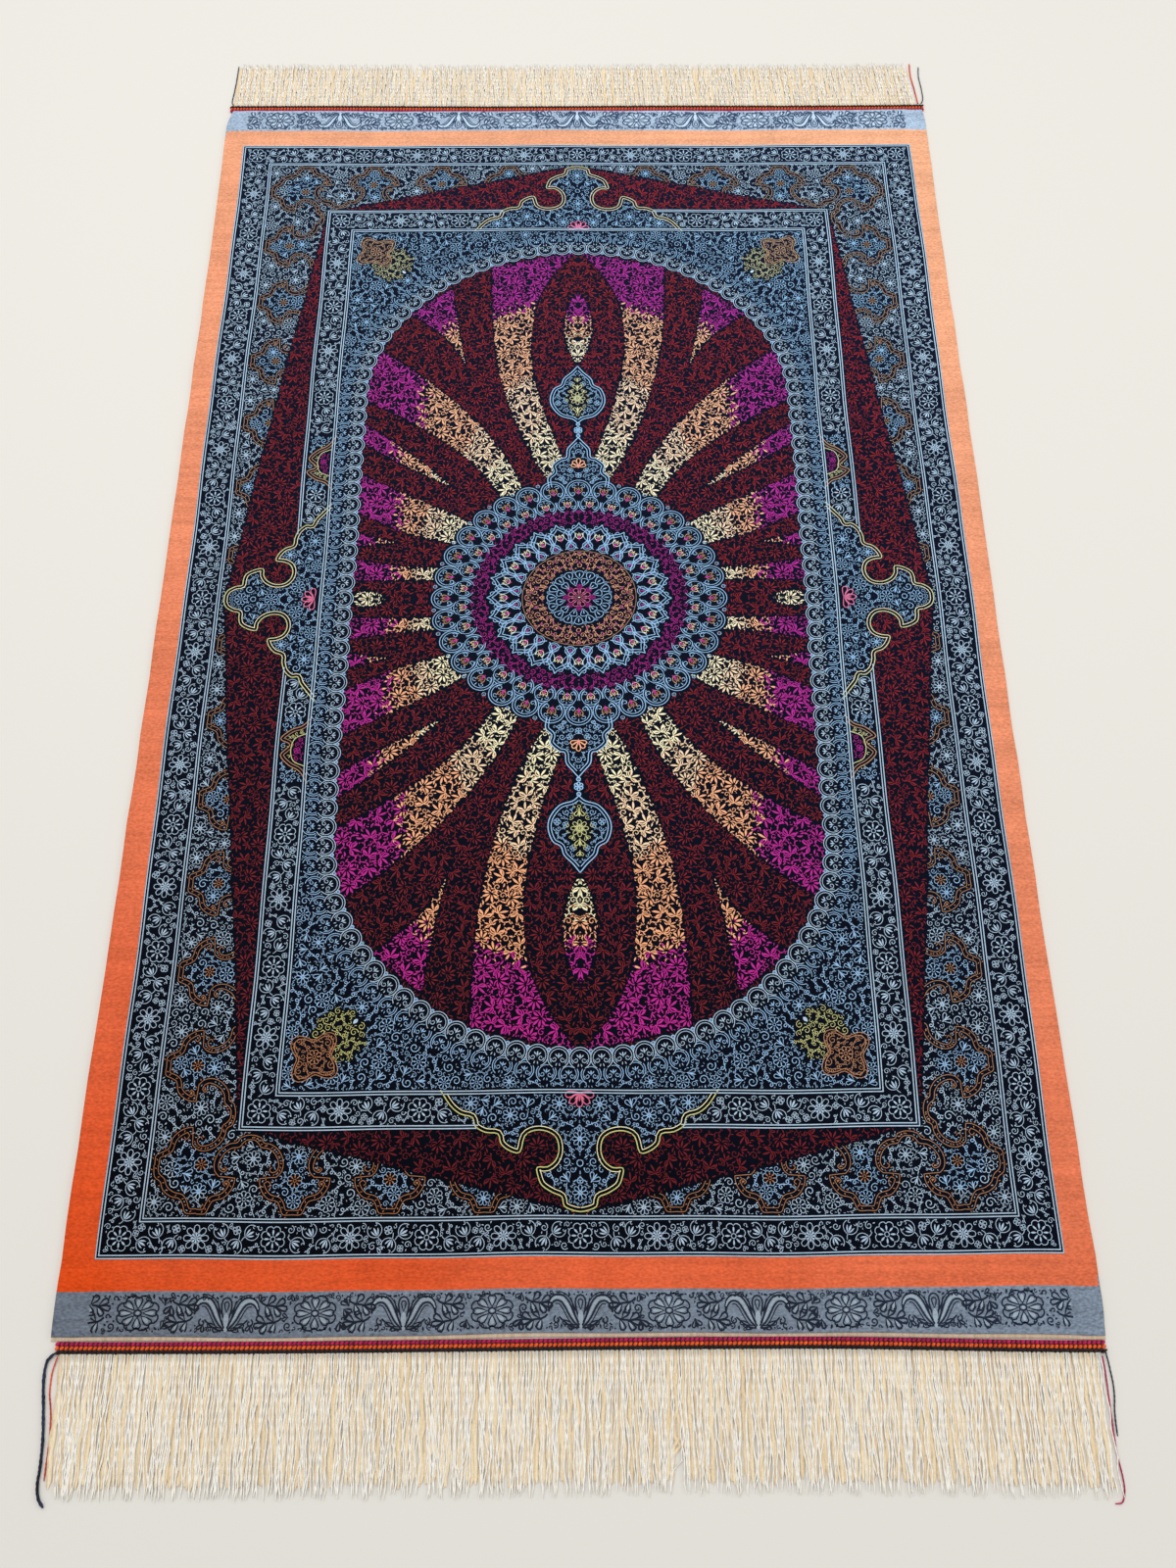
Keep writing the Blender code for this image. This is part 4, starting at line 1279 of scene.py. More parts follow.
@dataclass(frozen=True)
class Design:
    """The whole figured design."""

    medallion: Medallion = Medallion()
    pendants: Pendants = Pendants()
    lace: Lace = Lace()
    corner: CornerMedal = CornerMedal()

    def over_frames(self, x: Points, y: Points) -> Points:
        """True on the blue figures that stand over the frames."""
        return SIDE_CARTOUCHE.holds(x, y) | END_CARTOUCHE.holds(x, y)

    def border_zone(self, x: Points, y: Points) -> Points:
        """True where the main border shows."""
        return ~PLAN.wing(x, y) & ~self.over_frames(x, y)

    def wing_zone(self, x: Points, y: Points) -> Points:
        """True on the red points."""
        return PLAN.wing(x, y) & ~self.over_frames(x, y)

    def inner_guard_zone(self, x: Points, y: Points) -> Points:
        """True where the inner guard shows: its innermost lines run on below the blue figures."""
        x, y = abs(x), abs(y)
        edge = (x < PLAN.inner.inner_x + 4.2) & (y < PLAN.inner.inner_y + 4.2)
        half_figure = (y > 124) & (y < 190) & (x < PLAN.inner.outer_x - 4.5) & ~edge
        return edge | ~(self.over_frames(x, y) | half_figure)

    def oval_zone(self, x: Points, y: Points) -> Points:
        """True on the oval's leafy ground."""
        free = ~self.medallion.covers(x, y) & ~self.pendants.holds(x, y) & ~self.lace.holds(x, y)
        return free & (PLAN.oval_depth(x, y) > -8)

    def field_ground(self, x: Points, y: Points) -> Points:
        """True between the oval and the inner guard."""
        inner = PLAN.inner
        return (x < inner.inner_x - 0.6) & (y < inner.inner_y - 0.6) & (PLAN.oval_depth(x, y) < 0)

    def draw_cartouche(self, ink: Ink, figure: Cartouche, side: float) -> None:
        """Draws a figure over the middle of the frames.

        Args:
            ink: where it goes.
            figure: the figure.
            side: how far to the left of its edge its second line runs.
        """
        edge = figure.outline()
        within = beside(edge, side)
        held = figure.holds(*within.T)
        ink.draw([stroke(edge, 0.85)], Tone.LIME)
        pieces = [stroke(within[i : i + 2], 0.6) for i in range(len(within) - 1) if held[i] and held[i + 1]]
        ink.draw(pieces, Tone.CREAM)
        fan_angles = (-78, -39, 0, 39, 78)
        flower = [outline(1.0, 0, angle, 11.8, 5.0, 0.85) for angle in fan_angles]
        flower += [petal(2.4, 0, angle, 6.0, 1.3) for angle in fan_angles]
        ink.stamp(Stamp.of(flower), [(*figure.flower, 1.0, 1)], Tone.PINK)
        inner = PLAN.inner
        outside: Zone = lambda x, y: (x > inner.inner_x + 4.0) | (y > inner.inner_y + 4.0)
        ground: Zone = lambda x, y: figure.holds(x, y) & outside(x, y)
        room = Room(ground)
        room.take(*figure.flower[:2], 12.0)
        room.take_line(edge, 1.3)
        room.take_line(within, 0.8)
        room.fill(ink, LACE_FILL, Tone.BLUE, ground)

    def draw_half_figure(self, ink: Ink) -> None:
        """Draws the small half figures in the side guards."""
        wave = smooth(((244, 124), (252, 133), (262, 137), (271, 146), (262, 152), (270, 162), (262, 172),
            (252, 178), (244, 190)))
        heart = smooth(((248, 141), (258, 146), (261, 157), (258, 168), (248, 173)))
        second = beside(wave, 2.8)
        ink.draw([stroke(wave, 0.8), stroke(second[2:-2], 0.6)], Tone.GOLD)
        ink.draw([stroke(heart, 0.7)], Tone.LIME)
        low, high = PLAN.inner.inner_x + 4.4, PLAN.inner.outer_x - 4.6
        ground: Zone = lambda x, y: (x > low) & (x < high) & (y > 124) & (y < 190)
        room = Room(ground)
        for line in (wave, second, heart):
            room.take_line(line, 0.9)

        def yarn(x: Points, y: Points) -> Points:
            """Magenta and lime at the heart, blue outside."""
            near = np.hypot(x - 248, (y - 157) * 0.8)
            return np.select([near > 19, near < 12], [Tone.BLUE, Tone.MAGENTA], Tone.LIME)

        room.fill(ink, FINE_FILL, yarn, ground)

    def draw(self) -> dict[str, Ink]:
        """Draws every region, and gives the ink of each."""
        inks = {name: Ink() for name in ("guards", "border", "field", "medallion", "oval", "points", "ends")}
        guards, border, field_ink, medal, oval, points, ends = inks.values()
        Guard(PLAN.guard).draw(guards, lambda x, y: np.ones(x.shape, bool))
        MainBorder().draw(border, self.border_zone)
        Guard(PLAN.inner).draw(guards, self.inner_guard_zone)
        self.draw_cartouche(border, SIDE_CARTOUCHE, 3.0)
        self.draw_cartouche(border, END_CARTOUCHE, -3.0)
        self.draw_half_figure(border)
        room = Room(self.field_ground)
        self.lace.draw(field_ink, room)
        self.corner.draw(field_ink, room)
        room.fill(field_ink, LACE_FILL, Tone.BLUE, lambda x, y: self.field_ground(x, y)
            & ~self.corner.on_gold(x, y) & ~self.corner.on_lime(x, y))
        self.medallion.draw(medal)
        self.pendants.draw(medal, self.medallion)
        Rays().draw(oval, points, self.oval_zone, self.wing_zone)
        EndBand().draw(ends)
        return inks


# Finishes


GREY = (0.5, 0.5, 0.5, 1.0)


def linear(red: float, green: float, blue: float) -> tuple[float, float, float, float]:
    """A screen colour, 0 to 255, as the linear colour that a shader takes."""
    shares = (channel / 255 for channel in (red, green, blue))
    made = [share / 12.92 if share <= 0.04045 else ((share + 0.055) / 1.055) ** 2.4 for share in shares]
    return (*made, 1.0)


def feed(tree: Tree, socket: Socket, value: object) -> None:
    """Sets a socket to a value, or links it to another socket."""
    if isinstance(value, Socket):
        tree.links.new(value, socket)
    else:
        socket.default_value = value


def add_node(tree: Tree, kind: str, feeds: dict[str | int, object], **settings: object) -> bpy.types.Node:
    """Adds a shader node.

    Args:
        tree: where it goes.
        kind: its type, without the word that all shader nodes share.
        feeds: a value or a socket for each of its inputs.
        settings: its own properties.

    Returns:
        The node.
    """
    node = tree.nodes.new(f"ShaderNode{kind}")
    for key, value in settings.items():
        setattr(node, key, value)
    for key, value in feeds.items():
        feed(tree, node.inputs[key], value)
    return node


def maths(tree: Tree, operation: str, *values: object, clamp: bool = False) -> Socket:
    """Adds a Math node and gives its result."""
    return add_node(tree, "Math", dict(enumerate(values)), operation=operation, use_clamp=clamp).outputs[0]


def blend(tree: Tree, share: object, first: object, second: object) -> Socket:
    """Adds a colour Mix node and gives its result."""
    return add_node(tree, "Mix", {0: share, 6: first, 7: second}, data_type="RGBA").outputs[2]


def noise(tree: Tree, place: Socket, scale: float, stretch: Sequence[float], detail: float = 2.0) -> Socket:
    """Adds a noise stretched along the axes and gives its value."""
    spread = add_node(tree, "Mapping", {"Scale": stretch, "Vector": place}).outputs[0]
    return add_node(tree, "TexNoise", {"Scale": scale, "Detail": detail, "Vector": spread}).outputs["Fac"]


def open_group(name: str, inputs: dict[str, object], outputs: Sequence[str]) -> tuple:
    """Opens a node group.

    Args:
        name: its name.
        inputs: the value of each input, a colour or a number.
        outputs: its results: "Colour" is a colour, the others are numbers.

    Returns:
        The group, what it is given and what it makes.
    """
    group = bpy.data.node_groups.new(name, "ShaderNodeTree")
    for title, value in inputs.items():
        kind = "NodeSocketColor" if isinstance(value, tuple) else "NodeSocketFloat"
        group.interface.new_socket(title, in_out="INPUT", socket_type=kind).default_value = value
    for title in outputs:
        kind = "NodeSocketColor" if title == "Colour" else "NodeSocketFloat"
        group.interface.new_socket(title, in_out="OUTPUT", socket_type=kind)
    return group, group.nodes.new("NodeGroupInput").outputs, group.nodes.new("NodeGroupOutput").inputs


@cache
def pile_group() -> Tree:
    """The look of silk pile: paler towards the far end and the right side as painted sheen, mottled, with
    faint streaks along the knot rows.
    """
    inputs = {"Near": GREY, "Far": GREY, "Mottle": 0.2, "Streak": 0.15, "Rise": 1.2}
    tree, given, made = open_group("silk_pile_painted_sheen", inputs, ("Colour", "Height", "Roughness"))
    place = tree.nodes.new("ShaderNodeTexCoord").outputs["Object"]
    split = add_node(tree, "SeparateXYZ", {0: place}).outputs
    # painted sheen: the colour blends from Near to Far towards the far end and the right side
    along = maths(tree, "MULTIPLY_ADD", split["Y"], 0.78, 0.49)
    right = maths(tree, "MULTIPLY_ADD", split["X"], 0.32, along)
    swayed = maths(tree, "MULTIPLY_ADD", noise(tree, place, 5.0, (1.0, 1.0, 1.0)), 0.22, right)
    rest = maths(tree, "MULTIPLY_ADD", swayed, -0.77, 0.975, clamp=True)
    share = maths(tree, "SUBTRACT", 1.0, maths(tree, "POWER", rest, given["Rise"]))
    base = blend(tree, share, given["Near"], given["Far"])
    # the speckle and patches are partly random tone and partly painted sheen on the leaning pile
    speckle = noise(tree, place, 620.0, (0.55, 1.0, 1.0))
    streak = noise(tree, place, 90.0, (0.06, 2.2, 1.0), 3.0)
    patch = noise(tree, place, 38.0, (1.0, 0.7, 1.0), 3.0)
    fine, rows, patches = (maths(tree, "SUBTRACT", value, 0.5) for value in (speckle, streak, patch))
    light = maths(tree, "MULTIPLY", fine, given["Mottle"])
    both = maths(tree, "ADD", light, maths(tree, "MULTIPLY", rows, given["Streak"]))
    value = maths(tree, "MULTIPLY_ADD", maths(tree, "MULTIPLY_ADD", patches, 0.16, both), 2.0, 1.0)
    toned = add_node(tree, "VectorMath", {0: base, "Scale": value}, operation="SCALE")
    feed(tree, made["Colour"], toned.outputs[0])
    feed(tree, made["Height"], maths(tree, "MULTIPLY_ADD", streak, 0.5, speckle))
    feed(tree, made["Roughness"], maths(tree, "MULTIPLY_ADD", speckle, 0.25, 0.50, clamp=True))
    return tree


@cache
def yarn_group() -> Tree:
    """The colour and height of plied yarn: each strand a little lighter or darker at random, and darker in
    the twists as painted shade.
    """
    inputs = {"Light": GREY, "Shade": GREY, "Fineness": 900.0}
    tree, given, made = open_group("plied_yarn", inputs, ("Colour", "Height"))
    place = tree.nodes.new("ShaderNodeTexCoord").outputs["Object"]
    strand = noise(tree, place, 420.0, (1.0, 0.05, 1.0), 1.0)
    twist = add_node(tree, "TexNoise", {"Vector": place, "Scale": given["Fineness"]}).outputs["Fac"]
    # the blend from Shade to Light is partly random tone per strand and partly painted shade in the twists
    mixed = maths(tree, "MULTIPLY_ADD", twist, 0.7, strand)
    share = maths(tree, "MULTIPLY_ADD", mixed, 1.9, -1.1, clamp=True)
    feed(tree, made["Colour"], blend(tree, share, given["Shade"], given["Light"]))
    feed(tree, made["Height"], twist)
    return tree


def dress(
    name: str, group: Tree, feeds: dict, strength: float, depth: float, sockets: dict
) -> Material:
    """Makes a material whose colour and height come from a node group.

    Args:
        name: its name.
        group: the node group.
        feeds: the group's inputs.
        strength: how strongly the height shows.
        depth: how high it is, in metres.
        sockets: values of the shader's own sockets.

    Returns:
        The material.
    """
    material = bpy.data.materials.new(name)
    material.use_nodes = True
    tree = material.node_tree
    look = add_node(tree, "Group", feeds, node_tree=group).outputs
    bump = add_node(tree, "Bump", {"Strength": strength, "Distance": depth, "Height": look["Height"]})
    sockets = {"Base Color": look["Colour"], "Normal": bump.outputs[0], **sockets}
    if "Roughness" in look:
        sockets["Roughness"] = look["Roughness"]
    for key, value in sockets.items():
        feed(tree, tree.nodes["Principled BSDF"].inputs[key], value)
    return material


@dataclass(frozen=True)
class PileFinish:
    """Cut silk pile of one dye, at the near end and at the far end, where painted sheen makes it paler."""

    name: str
    near: Colour
    far: Colour
    mottle: float = 0.30
    streak: float = 0.10
    sheen: float = 0.10
    bump: float = 0.0004
    gloss: float = 0.15
    rise: float = 1.2

    def make(self) -> Material:
        """Builds the material."""
        feeds = {"Near": linear(*self.near), "Far": linear(*self.far)}
        feeds |= {"Mottle": self.mottle, "Streak": self.streak, "Rise": self.rise}
        sockets = {"Sheen Weight": self.sheen, "Sheen Roughness": 0.45, "Specular IOR Level": self.gloss}
        return dress(self.name, pile_group(), feeds, 0.6, self.bump, sockets)


@dataclass(frozen=True)
class YarnFinish:
    """Twisted yarn of one dye."""

    name: str
    light: Colour
    shade: Colour
    fineness: float = 900.0

    def make(self) -> Material:
        """Builds the material."""
        feeds = {"Light": linear(*self.light), "Shade": linear(*self.shade), "Fineness": self.fineness}
        sockets = {"Roughness": 0.5, "Sheen Weight": 0.04, "Specular IOR Level": 0.2}
        return dress(self.name, yarn_group(), feeds, 0.5, 0.0003, sockets)


# painted sheen: each dye's far colour is the dye lifted by sheen towards the far end
DYES = {Tone.BLUE: PileFinish("silk_blue", (156, 186, 220), (156, 210, 255)),
    Tone.SILVER: PileFinish("silk_silver", (170, 188, 206), (190, 226, 255)),
    Tone.CRIMSON: PileFinish("silk_crimson", (86, 13, 20), (164, 34, 46), rise=1.0),
    Tone.MAGENTA: PileFinish("silk_magenta", (196, 28, 130), (172, 44, 164)),
    Tone.PEACH: PileFinish("silk_peach", (248, 160, 102), (246, 198, 164)),
    Tone.SAND: PileFinish("silk_sand", (250, 206, 152), (252, 230, 206)),
    Tone.CREAM: PileFinish("silk_cream", (250, 238, 176), (255, 248, 226)),
    Tone.GOLD: PileFinish("silk_gold", (172, 106, 60), (196, 168, 138)), Tone.LIME: PileFinish("silk_lime",
    (202, 196, 104), (214, 222, 184)), Tone.PINK: PileFinish("silk_pink", (214, 96, 120), (226, 130, 180)),
    Tone.NAVY: PileFinish("silk_navy", (8, 10, 18), (40, 66, 104)), Tone.PALE: PileFinish("silk_pale",
    (136, 147, 158), (204, 230, 250))}
# painted sheen: the far colours of the ground, margin and band are paler as the sheen lifts them
GROUND = PileFinish("pile_ground", (1, 2, 5), (16, 25, 48), 0.5, 0.2, 0.02, gloss=0.03, rise=0.9)
MARGIN = PileFinish("pile_orange", (216, 66, 0), (240, 178, 140), 0.5, 0.26, 0.0, 0.0006, gloss=0.02)
BAND = PileFinish("pile_band", (102, 111, 124), (170, 193, 218), 0.8, 0.25, 0.10, 0.0006)
KILIM = YarnFinish("flatweave_cream", (250, 234, 206), (222, 196, 162), 1300.0)


# Pieces


def warp(x: Points, y: Points) -> tuple[Points, Points]:
    """The slight waver of hand-knotted lines: places in millimetres, moved by up to a millimetre."""
    right = 0.55 * np.sin(y / 61.0 + 0.8) + 0.30 * np.sin(y / 23.0 + x / 190.0)
    up = 0.60 * np.sin(x / 58.0 + 2.1) + 0.30 * np.sin(x / 21.0 - y / 170.0)
    return x + right, y + up


def piece_from(name: str, corners: Points, faces: Points, materials: Sequence[Material],
    slots: Points | None = None, rounded: bool = True) -> Object:
    """Builds a mesh object of quads.

    Args:
        name: the piece's name.
        corners: its points in metres.
        faces: four point numbers for each face.
        materials: its finishes.
        slots: each face's finish.
        rounded: shade it smooth.

    Returns:
        The object.
    """
    faces = np.asarray(faces)
    single = np.sort(np.unique(np.sort(faces, axis=1), axis=0, return_index=True)[1])
    mesh = bpy.data.meshes.new(name)
    mesh.from_pydata(corners, [], faces[single])  # a face that is its own mirror image counts once
    for material in materials:
        mesh.materials.append(material)
    if slots is not None:
        mesh.polygons.foreach_set("material_index", np.asarray(slots, np.int32)[single])
    if rounded:
        mesh.shade_smooth()
    owner = np.empty(len(mesh.loops), np.int32)
    mesh.loops.foreach_get("vertex_index", owner)
    low, high = CAD_BOX
    flat = (np.asarray(corners, np.float32)[owner][:, :2] - low[:2]) / (high[1] - low[1])
    mesh.uv_layers.new(name="OFBake").data.foreach_set("uv", flat.astype(np.float32).ravel())
    made = bpy.data.objects.new(name, mesh)
    bpy.context.scene.collection.objects.link(made)
    return made


def settle(piece: Object, slot: str, *nodes: str) -> Object:
    """Rides a piece on the rug's one body and hides the solids it stands for."""
    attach(piece, "root")
    if nodes:
        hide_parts(*nodes)
    LOG.info("%s: %d faces", piece.name, len(piece.data.polygons))
    return piece


def tube_faces(count: int, stations: int, sides: int) -> Points:
    """The side faces of some tubes.

    Args:
        count: how many tubes.
        stations: rings of points in each.
        sides: points in a ring.

    Returns:
        Four point numbers for each face.
    """
    start = np.arange(count)[:, None, None] * stations * sides
    first = start + np.arange(stations - 1)[:, None] * sides + np.arange(sides)
    after = first + np.where(np.arange(sides) < sides - 1, 1, 1 - sides)
    return np.stack([first, after, after + sides, first + sides], axis=3).reshape(-1, 4)


@dataclass(frozen=True)
class Figuring:
    """The coloured knots of the design as thin raised patches on the pile."""

    lift: float = 0.00008
    step: float = 0.000012

    def build(self, inks: dict[str, Ink]) -> list[Object]:
        """Builds one piece for each yarn of each region.

        Args:
            inks: the ink of each region.

        Returns:
            The pieces.
        """
        materials = {tone: finish.make() for tone, finish in DYES.items()}
        made = []
        for region, ink in inks.items():
            for tone in sorted(ink.parts):
                quads, layers = (np.concatenate(column) for column in zip(*ink.parts[tone]))
                flat = np.column_stack([quads.reshape(-1, 2), np.repeat(layers, 4)])
                points, faces = np.unique(np.round(flat, 3), axis=0, return_inverse=True)
                faces = faces.reshape(-1, 4)
                whole = np.all(np.diff(np.sort(faces, axis=1), axis=1) > 0, axis=1)
                x, y = warp(points[:, 0], points[:, 1])
                height = PILE_TOP + self.lift + self.step * points[:, 2]
                corners = np.stack([x * MM + CENTRE.x, y * MM + CENTRE.y, height], axis=1)
                name = f"silk_{region}_{tone.name.lower()}"
                piece = piece_from(name, corners, faces[whole][:, ::-1], [materials[tone]], rounded=False)
                made.append(settle(piece, "pile"))
        return made


def ease(value: float) -> float:
    """An even ease from 0 to 1."""
    value = min(max(value, 0.0), 1.0)
    return value * value * (3.0 - 2.0 * value)


@dataclass(frozen=True)
class Pile:
    """The woven body: foundation, ledges, and pile with a dark ground, orange margins and end bands."""

    half_length: float = 0.6435
    ledge_near: float = 0.0028
    ledge_far: float = 0.0006
    ledge_side: float = 0.0005
    foundation: float = 0.0016
    corner_run: float = 0.024
    stations: tuple[tuple[float, float, float], ...] = (
        (-0.6435, -0.4042, 0.4016),
        (-0.5000, -0.4036, 0.3998),
        (-0.3000, -0.4014, 0.3976),
        (-0.1000, -0.4000, 0.3970),
        (0.1500, -0.3994, 0.3982),
        (0.4500, -0.3990, 0.3976),
        (0.6435, -0.4006, 0.3990),
    )  # places along the rug, with its left and right edge there, in metres from the design's middle

    def corner_inset(self, distance: float, depth: float) -> float:
        """How far a corner draws in, at this distance from the end."""
        share = max(0.0, 1.0 - distance / self.corner_run)
        return depth * share * share

    def side_edges(self, y: float) -> tuple[float, float]:
        """The pile's left and right edge at a place along the rug."""
        y = min(max(y, -self.half_length), self.half_length)
        low, high = next(pair for pair in zip(self.stations, self.stations[1:]) if y <= pair[1][0])
        share = ease((y - low[0]) / (high[0] - low[0]))
        left, right = (low[i] + share * (high[i] - low[i]) for i in (1, 2))
        ripple = 0.0003 * math.sin(61.0 * y) + 0.0002 * math.sin(149.0 * y + 0.8)
        near = self.corner_inset(self.half_length + y, 0.0012)
        far_left, far_right = (self.corner_inset(self.half_length - y, depth) for depth in (0.0045, 0.0025))
        return left + ripple + far_left + near, right + ripple - far_right - near

    def end_at(self, end: int, x: float, outward: float = 0.0) -> float:
        """Where an end of the pile lies at a place across the rug.

        Args:
            end: -1 for the near end, 1 for the far one.
            x: the place, in metres from the design's middle.
            outward: how far outside the pile.

        Returns:
            The place along the rug.
        """
        if end < 0:
            bow = 0.0007 * math.cos(9.0 * x + 2.2) + 0.0026 * ease((x - 0.16) / 0.24)
        else:
            bow = 0.0010 * (abs(x) / 0.38) ** 2 - 0.0005 + 0.0004 * math.sin(17.0 * x)
        return end * (self.half_length + bow + outward)

    def corner(
        self, x: float, y: float, grow: tuple[float, float, float], height: float
    ) -> tuple[float, float, float]:
        """Moves a point of the plain net to the true outline.

        Args:
            x: across, in metres from the design's middle.
            y: along, in metres.
            grow: how far the outline stands out at the sides, the near end and the far end.
            height: how high it is.

        Returns:
            The point, in metres.
        """
        inner = abs(x) < 0.3775
        left, right = self.side_edges(y)
        if abs(x) >= 0.3999:
            x = left - grow[0] if x < 0 else right + grow[0]
        if abs(y) >= self.half_length - 1e-6:
            y = self.end_at(-1, x, grow[1]) if y < 0 else self.end_at(1, x, grow[2])
        if inner:
            x, y = (float(value) * MM for value in warp(np.float64(x) / MM, np.float64(y) / MM))
        return x + CENTRE.x, y + CENTRE.y, height

    def build(self) -> Object:
        """Builds the body as one closed mesh."""
        guard, margin_end = PLAN.guard, PLAN.margin_end * MM
        middle = [x * MM for x in np.linspace(-guard.outer_x, guard.outer_x, 27)]
        across = [-0.4, -0.392, -0.384, *middle, 0.384, 0.392, 0.4]
        ends = [-0.6435, -0.6385, -0.6340, -0.6280, -0.6200, -margin_end, -0.6040, -0.5960]
        middle = [y * MM for y in np.linspace(-guard.outer_y, guard.outer_y, 43)]
        along = [*ends, *middle, *[-y for y in ends[::-1]]]
        last_x, last_y = len(across) - 1, len(along) - 1
        ledge = (self.ledge_side, self.ledge_near, self.ledge_far)
        levels = (((-0.0013, -0.0013, -0.0013), PILE_TOP), ((-0.0005, -0.0005, -0.0005),
            PILE_TOP - 0.00025), ((0.0, 0.0, 0.0), PILE_TOP - 0.0010), ((0.0, 0.0, 0.0), self.foundation
            + 0.0003), ((0.0002, 0.0003, 0.0002), self.foundation), (ledge, self.foundation - 0.0002),
            (ledge, 0.0))
        points, faces, slots = [], [], []
        net = [(i, j) for i in range(last_x + 1) for j in range(last_y + 1)]
        rim = [(i, 0) for i in range(last_x)] + [(last_x, j) for j in range(last_y)]
        rim += [(i, last_y) for i in range(last_x, 0, -1)] + [(0, j) for j in range(last_y, 0, -1)]
        numbers = []
        for level, keys in ((0, net), (6, net), *((level, rim) for level in range(1, 6))):
            numbers.append({key: len(points) + place for place, key in enumerate(keys)})
            points += [self.corner(across[i], along[j], *levels[level]) for i, j in keys]
        for i, j in net:
            if i == last_x or j == last_y:
                continue
            keys = ((i, j), (i + 1, j), (i + 1, j + 1), (i, j + 1))
            x, y = abs(across[i] + across[i + 1]) / 2, abs(along[j] + along[j + 1]) / 2
            figured = x < guard.outer_x * MM and y < guard.outer_y * MM
            faces += [[numbers[0][key] for key in keys], [numbers[1][key] for key in keys[::-1]]]
            slots += [2 if y > margin_end else 0 if figured else 1, 3]
        walls = [numbers[0], *numbers[2:], numbers[1]]
        for level, (upper, lower) in enumerate(zip(walls, walls[1:])):
            for key, after in zip(rim, rim[1:] + rim[:1]):
                faces.append([upper[after], upper[key], lower[key], lower[after]])
                end = abs(along[key[1]]) > margin_end - 1e-6
                slots.append((2 if end else 1) if level < 3 else 3)
        materials = [finish.make() for finish in (GROUND, MARGIN, BAND, KILIM)]
        return settle(piece_from("rug_pile", points, faces, materials, slots), "pile", "rug_body")


@dataclass(frozen=True)
class TwinedRow:
    """One row of twining across an end: slanted stitches side by side, like a flat rope."""

    name: str
    offset: float
    width: float
    finish: YarnFinish
    lean: float = 0.0005
    pitch: float = 0.0036
    height: float = 0.0034
    reach: float = 0.4000
    gap: float = 0.0003

    def middle(self, pile: Pile, end: int, across: Points) -> Points:
        """The row's middle line at an end of the rug, in metres from the design's middle."""
        ledge = pile.ledge_near if end < 0 else pile.ledge_far
        outward = ledge + self.gap + self.offset + 0.5 * self.width
        return np.array([pile.end_at(end, x, outward) for x in across])

    def build(self, pile: Pile, end: int, materials: Sequence[Material]) -> Object:
        """Builds the row at one end.

        Args:
            pile: the body that it runs along.
            end: -1 at the near end, 1 at the far one.
            materials: the finishes of the stitches and of the dark core beneath them, painted shade that
                shows between the stitches.

        Returns:
            The piece.
        """
        count = int(2 * self.reach / self.pitch)
        centres = -self.reach + (np.arange(count) + 0.5) * 2 * self.reach / count
        middle = self.middle(pile, end, centres)
        draw = np.random.default_rng(11 + len(self.name) + end)
        size = draw.uniform(0.90, 1.08, count)[:, None, None]
        lean = self.lean * draw.uniform(0.8, 1.2, count)[:, None, None]
        stations = np.linspace(-1.0, 1.0, 6)[:, None]
        sides = np.linspace(0, 2 * math.pi, 7)[:-1]
        swell = np.sqrt(1.0 - 0.94 * stations**4)
        x = centres[:, None, None] + stations * lean + swell * np.cos(sides) * 0.46 * self.pitch * size
        y = middle[:, None, None] + stations * 0.5 * self.width * 0.97
        rise = 0.5 * self.height
        z = rise + swell * np.sin(sides) * (rise - 0.0001) * size.clip(0, 1.0)
        points = np.stack(np.broadcast_arrays(x + CENTRE.x, y + CENTRE.y, z), axis=3).reshape(-1, 3)
        first = np.arange(count)[:, None] * 36
        caps = [first + at + np.array(order) for at in (0, 30) for order in ((0, 1, 2, 3), (0, 3, 4, 5))]
        stitches = np.concatenate([tube_faces(count, 6, 6), *caps])
        # painted shade: a dark strip under the stitches shows as dark creases between them
        core = [np.stack([centres + CENTRE.x, middle + way * 0.46 * self.width + CENTRE.y,
            np.full(count, 0.55 * self.height)], axis=1) for way in (-1, 1)]
        near = len(points) + np.arange(count - 1)
        under = np.stack([near, near + 1, near + 1 + count, near + count], axis=1)
        slots = np.repeat((0, 1), (len(stitches), len(under)))
        side = "near" if end < 0 else "far"
        corners, faces = np.concatenate([points, *core]), np.concatenate([stitches, under])
        piece = piece_from(f"twined_{side}_{self.name}", corners, faces, materials, slots)
        return settle(piece, f"twine_{self.name}", f"twine_{side}_{self.name}")


TWINED_ROWS = (TwinedRow("magenta", 0.0000, 0.0030, YarnFinish("twine_magenta", (204, 26, 96),
    (134, 12, 60))), TwinedRow("orange", 0.0030, 0.0030, YarnFinish("twine_orange", (250, 108, 34),
    (196, 62, 14))), TwinedRow("black", 0.0060, 0.0031, YarnFinish("twine_black", (40, 34, 32), (6, 5, 6)),
    0.0018))


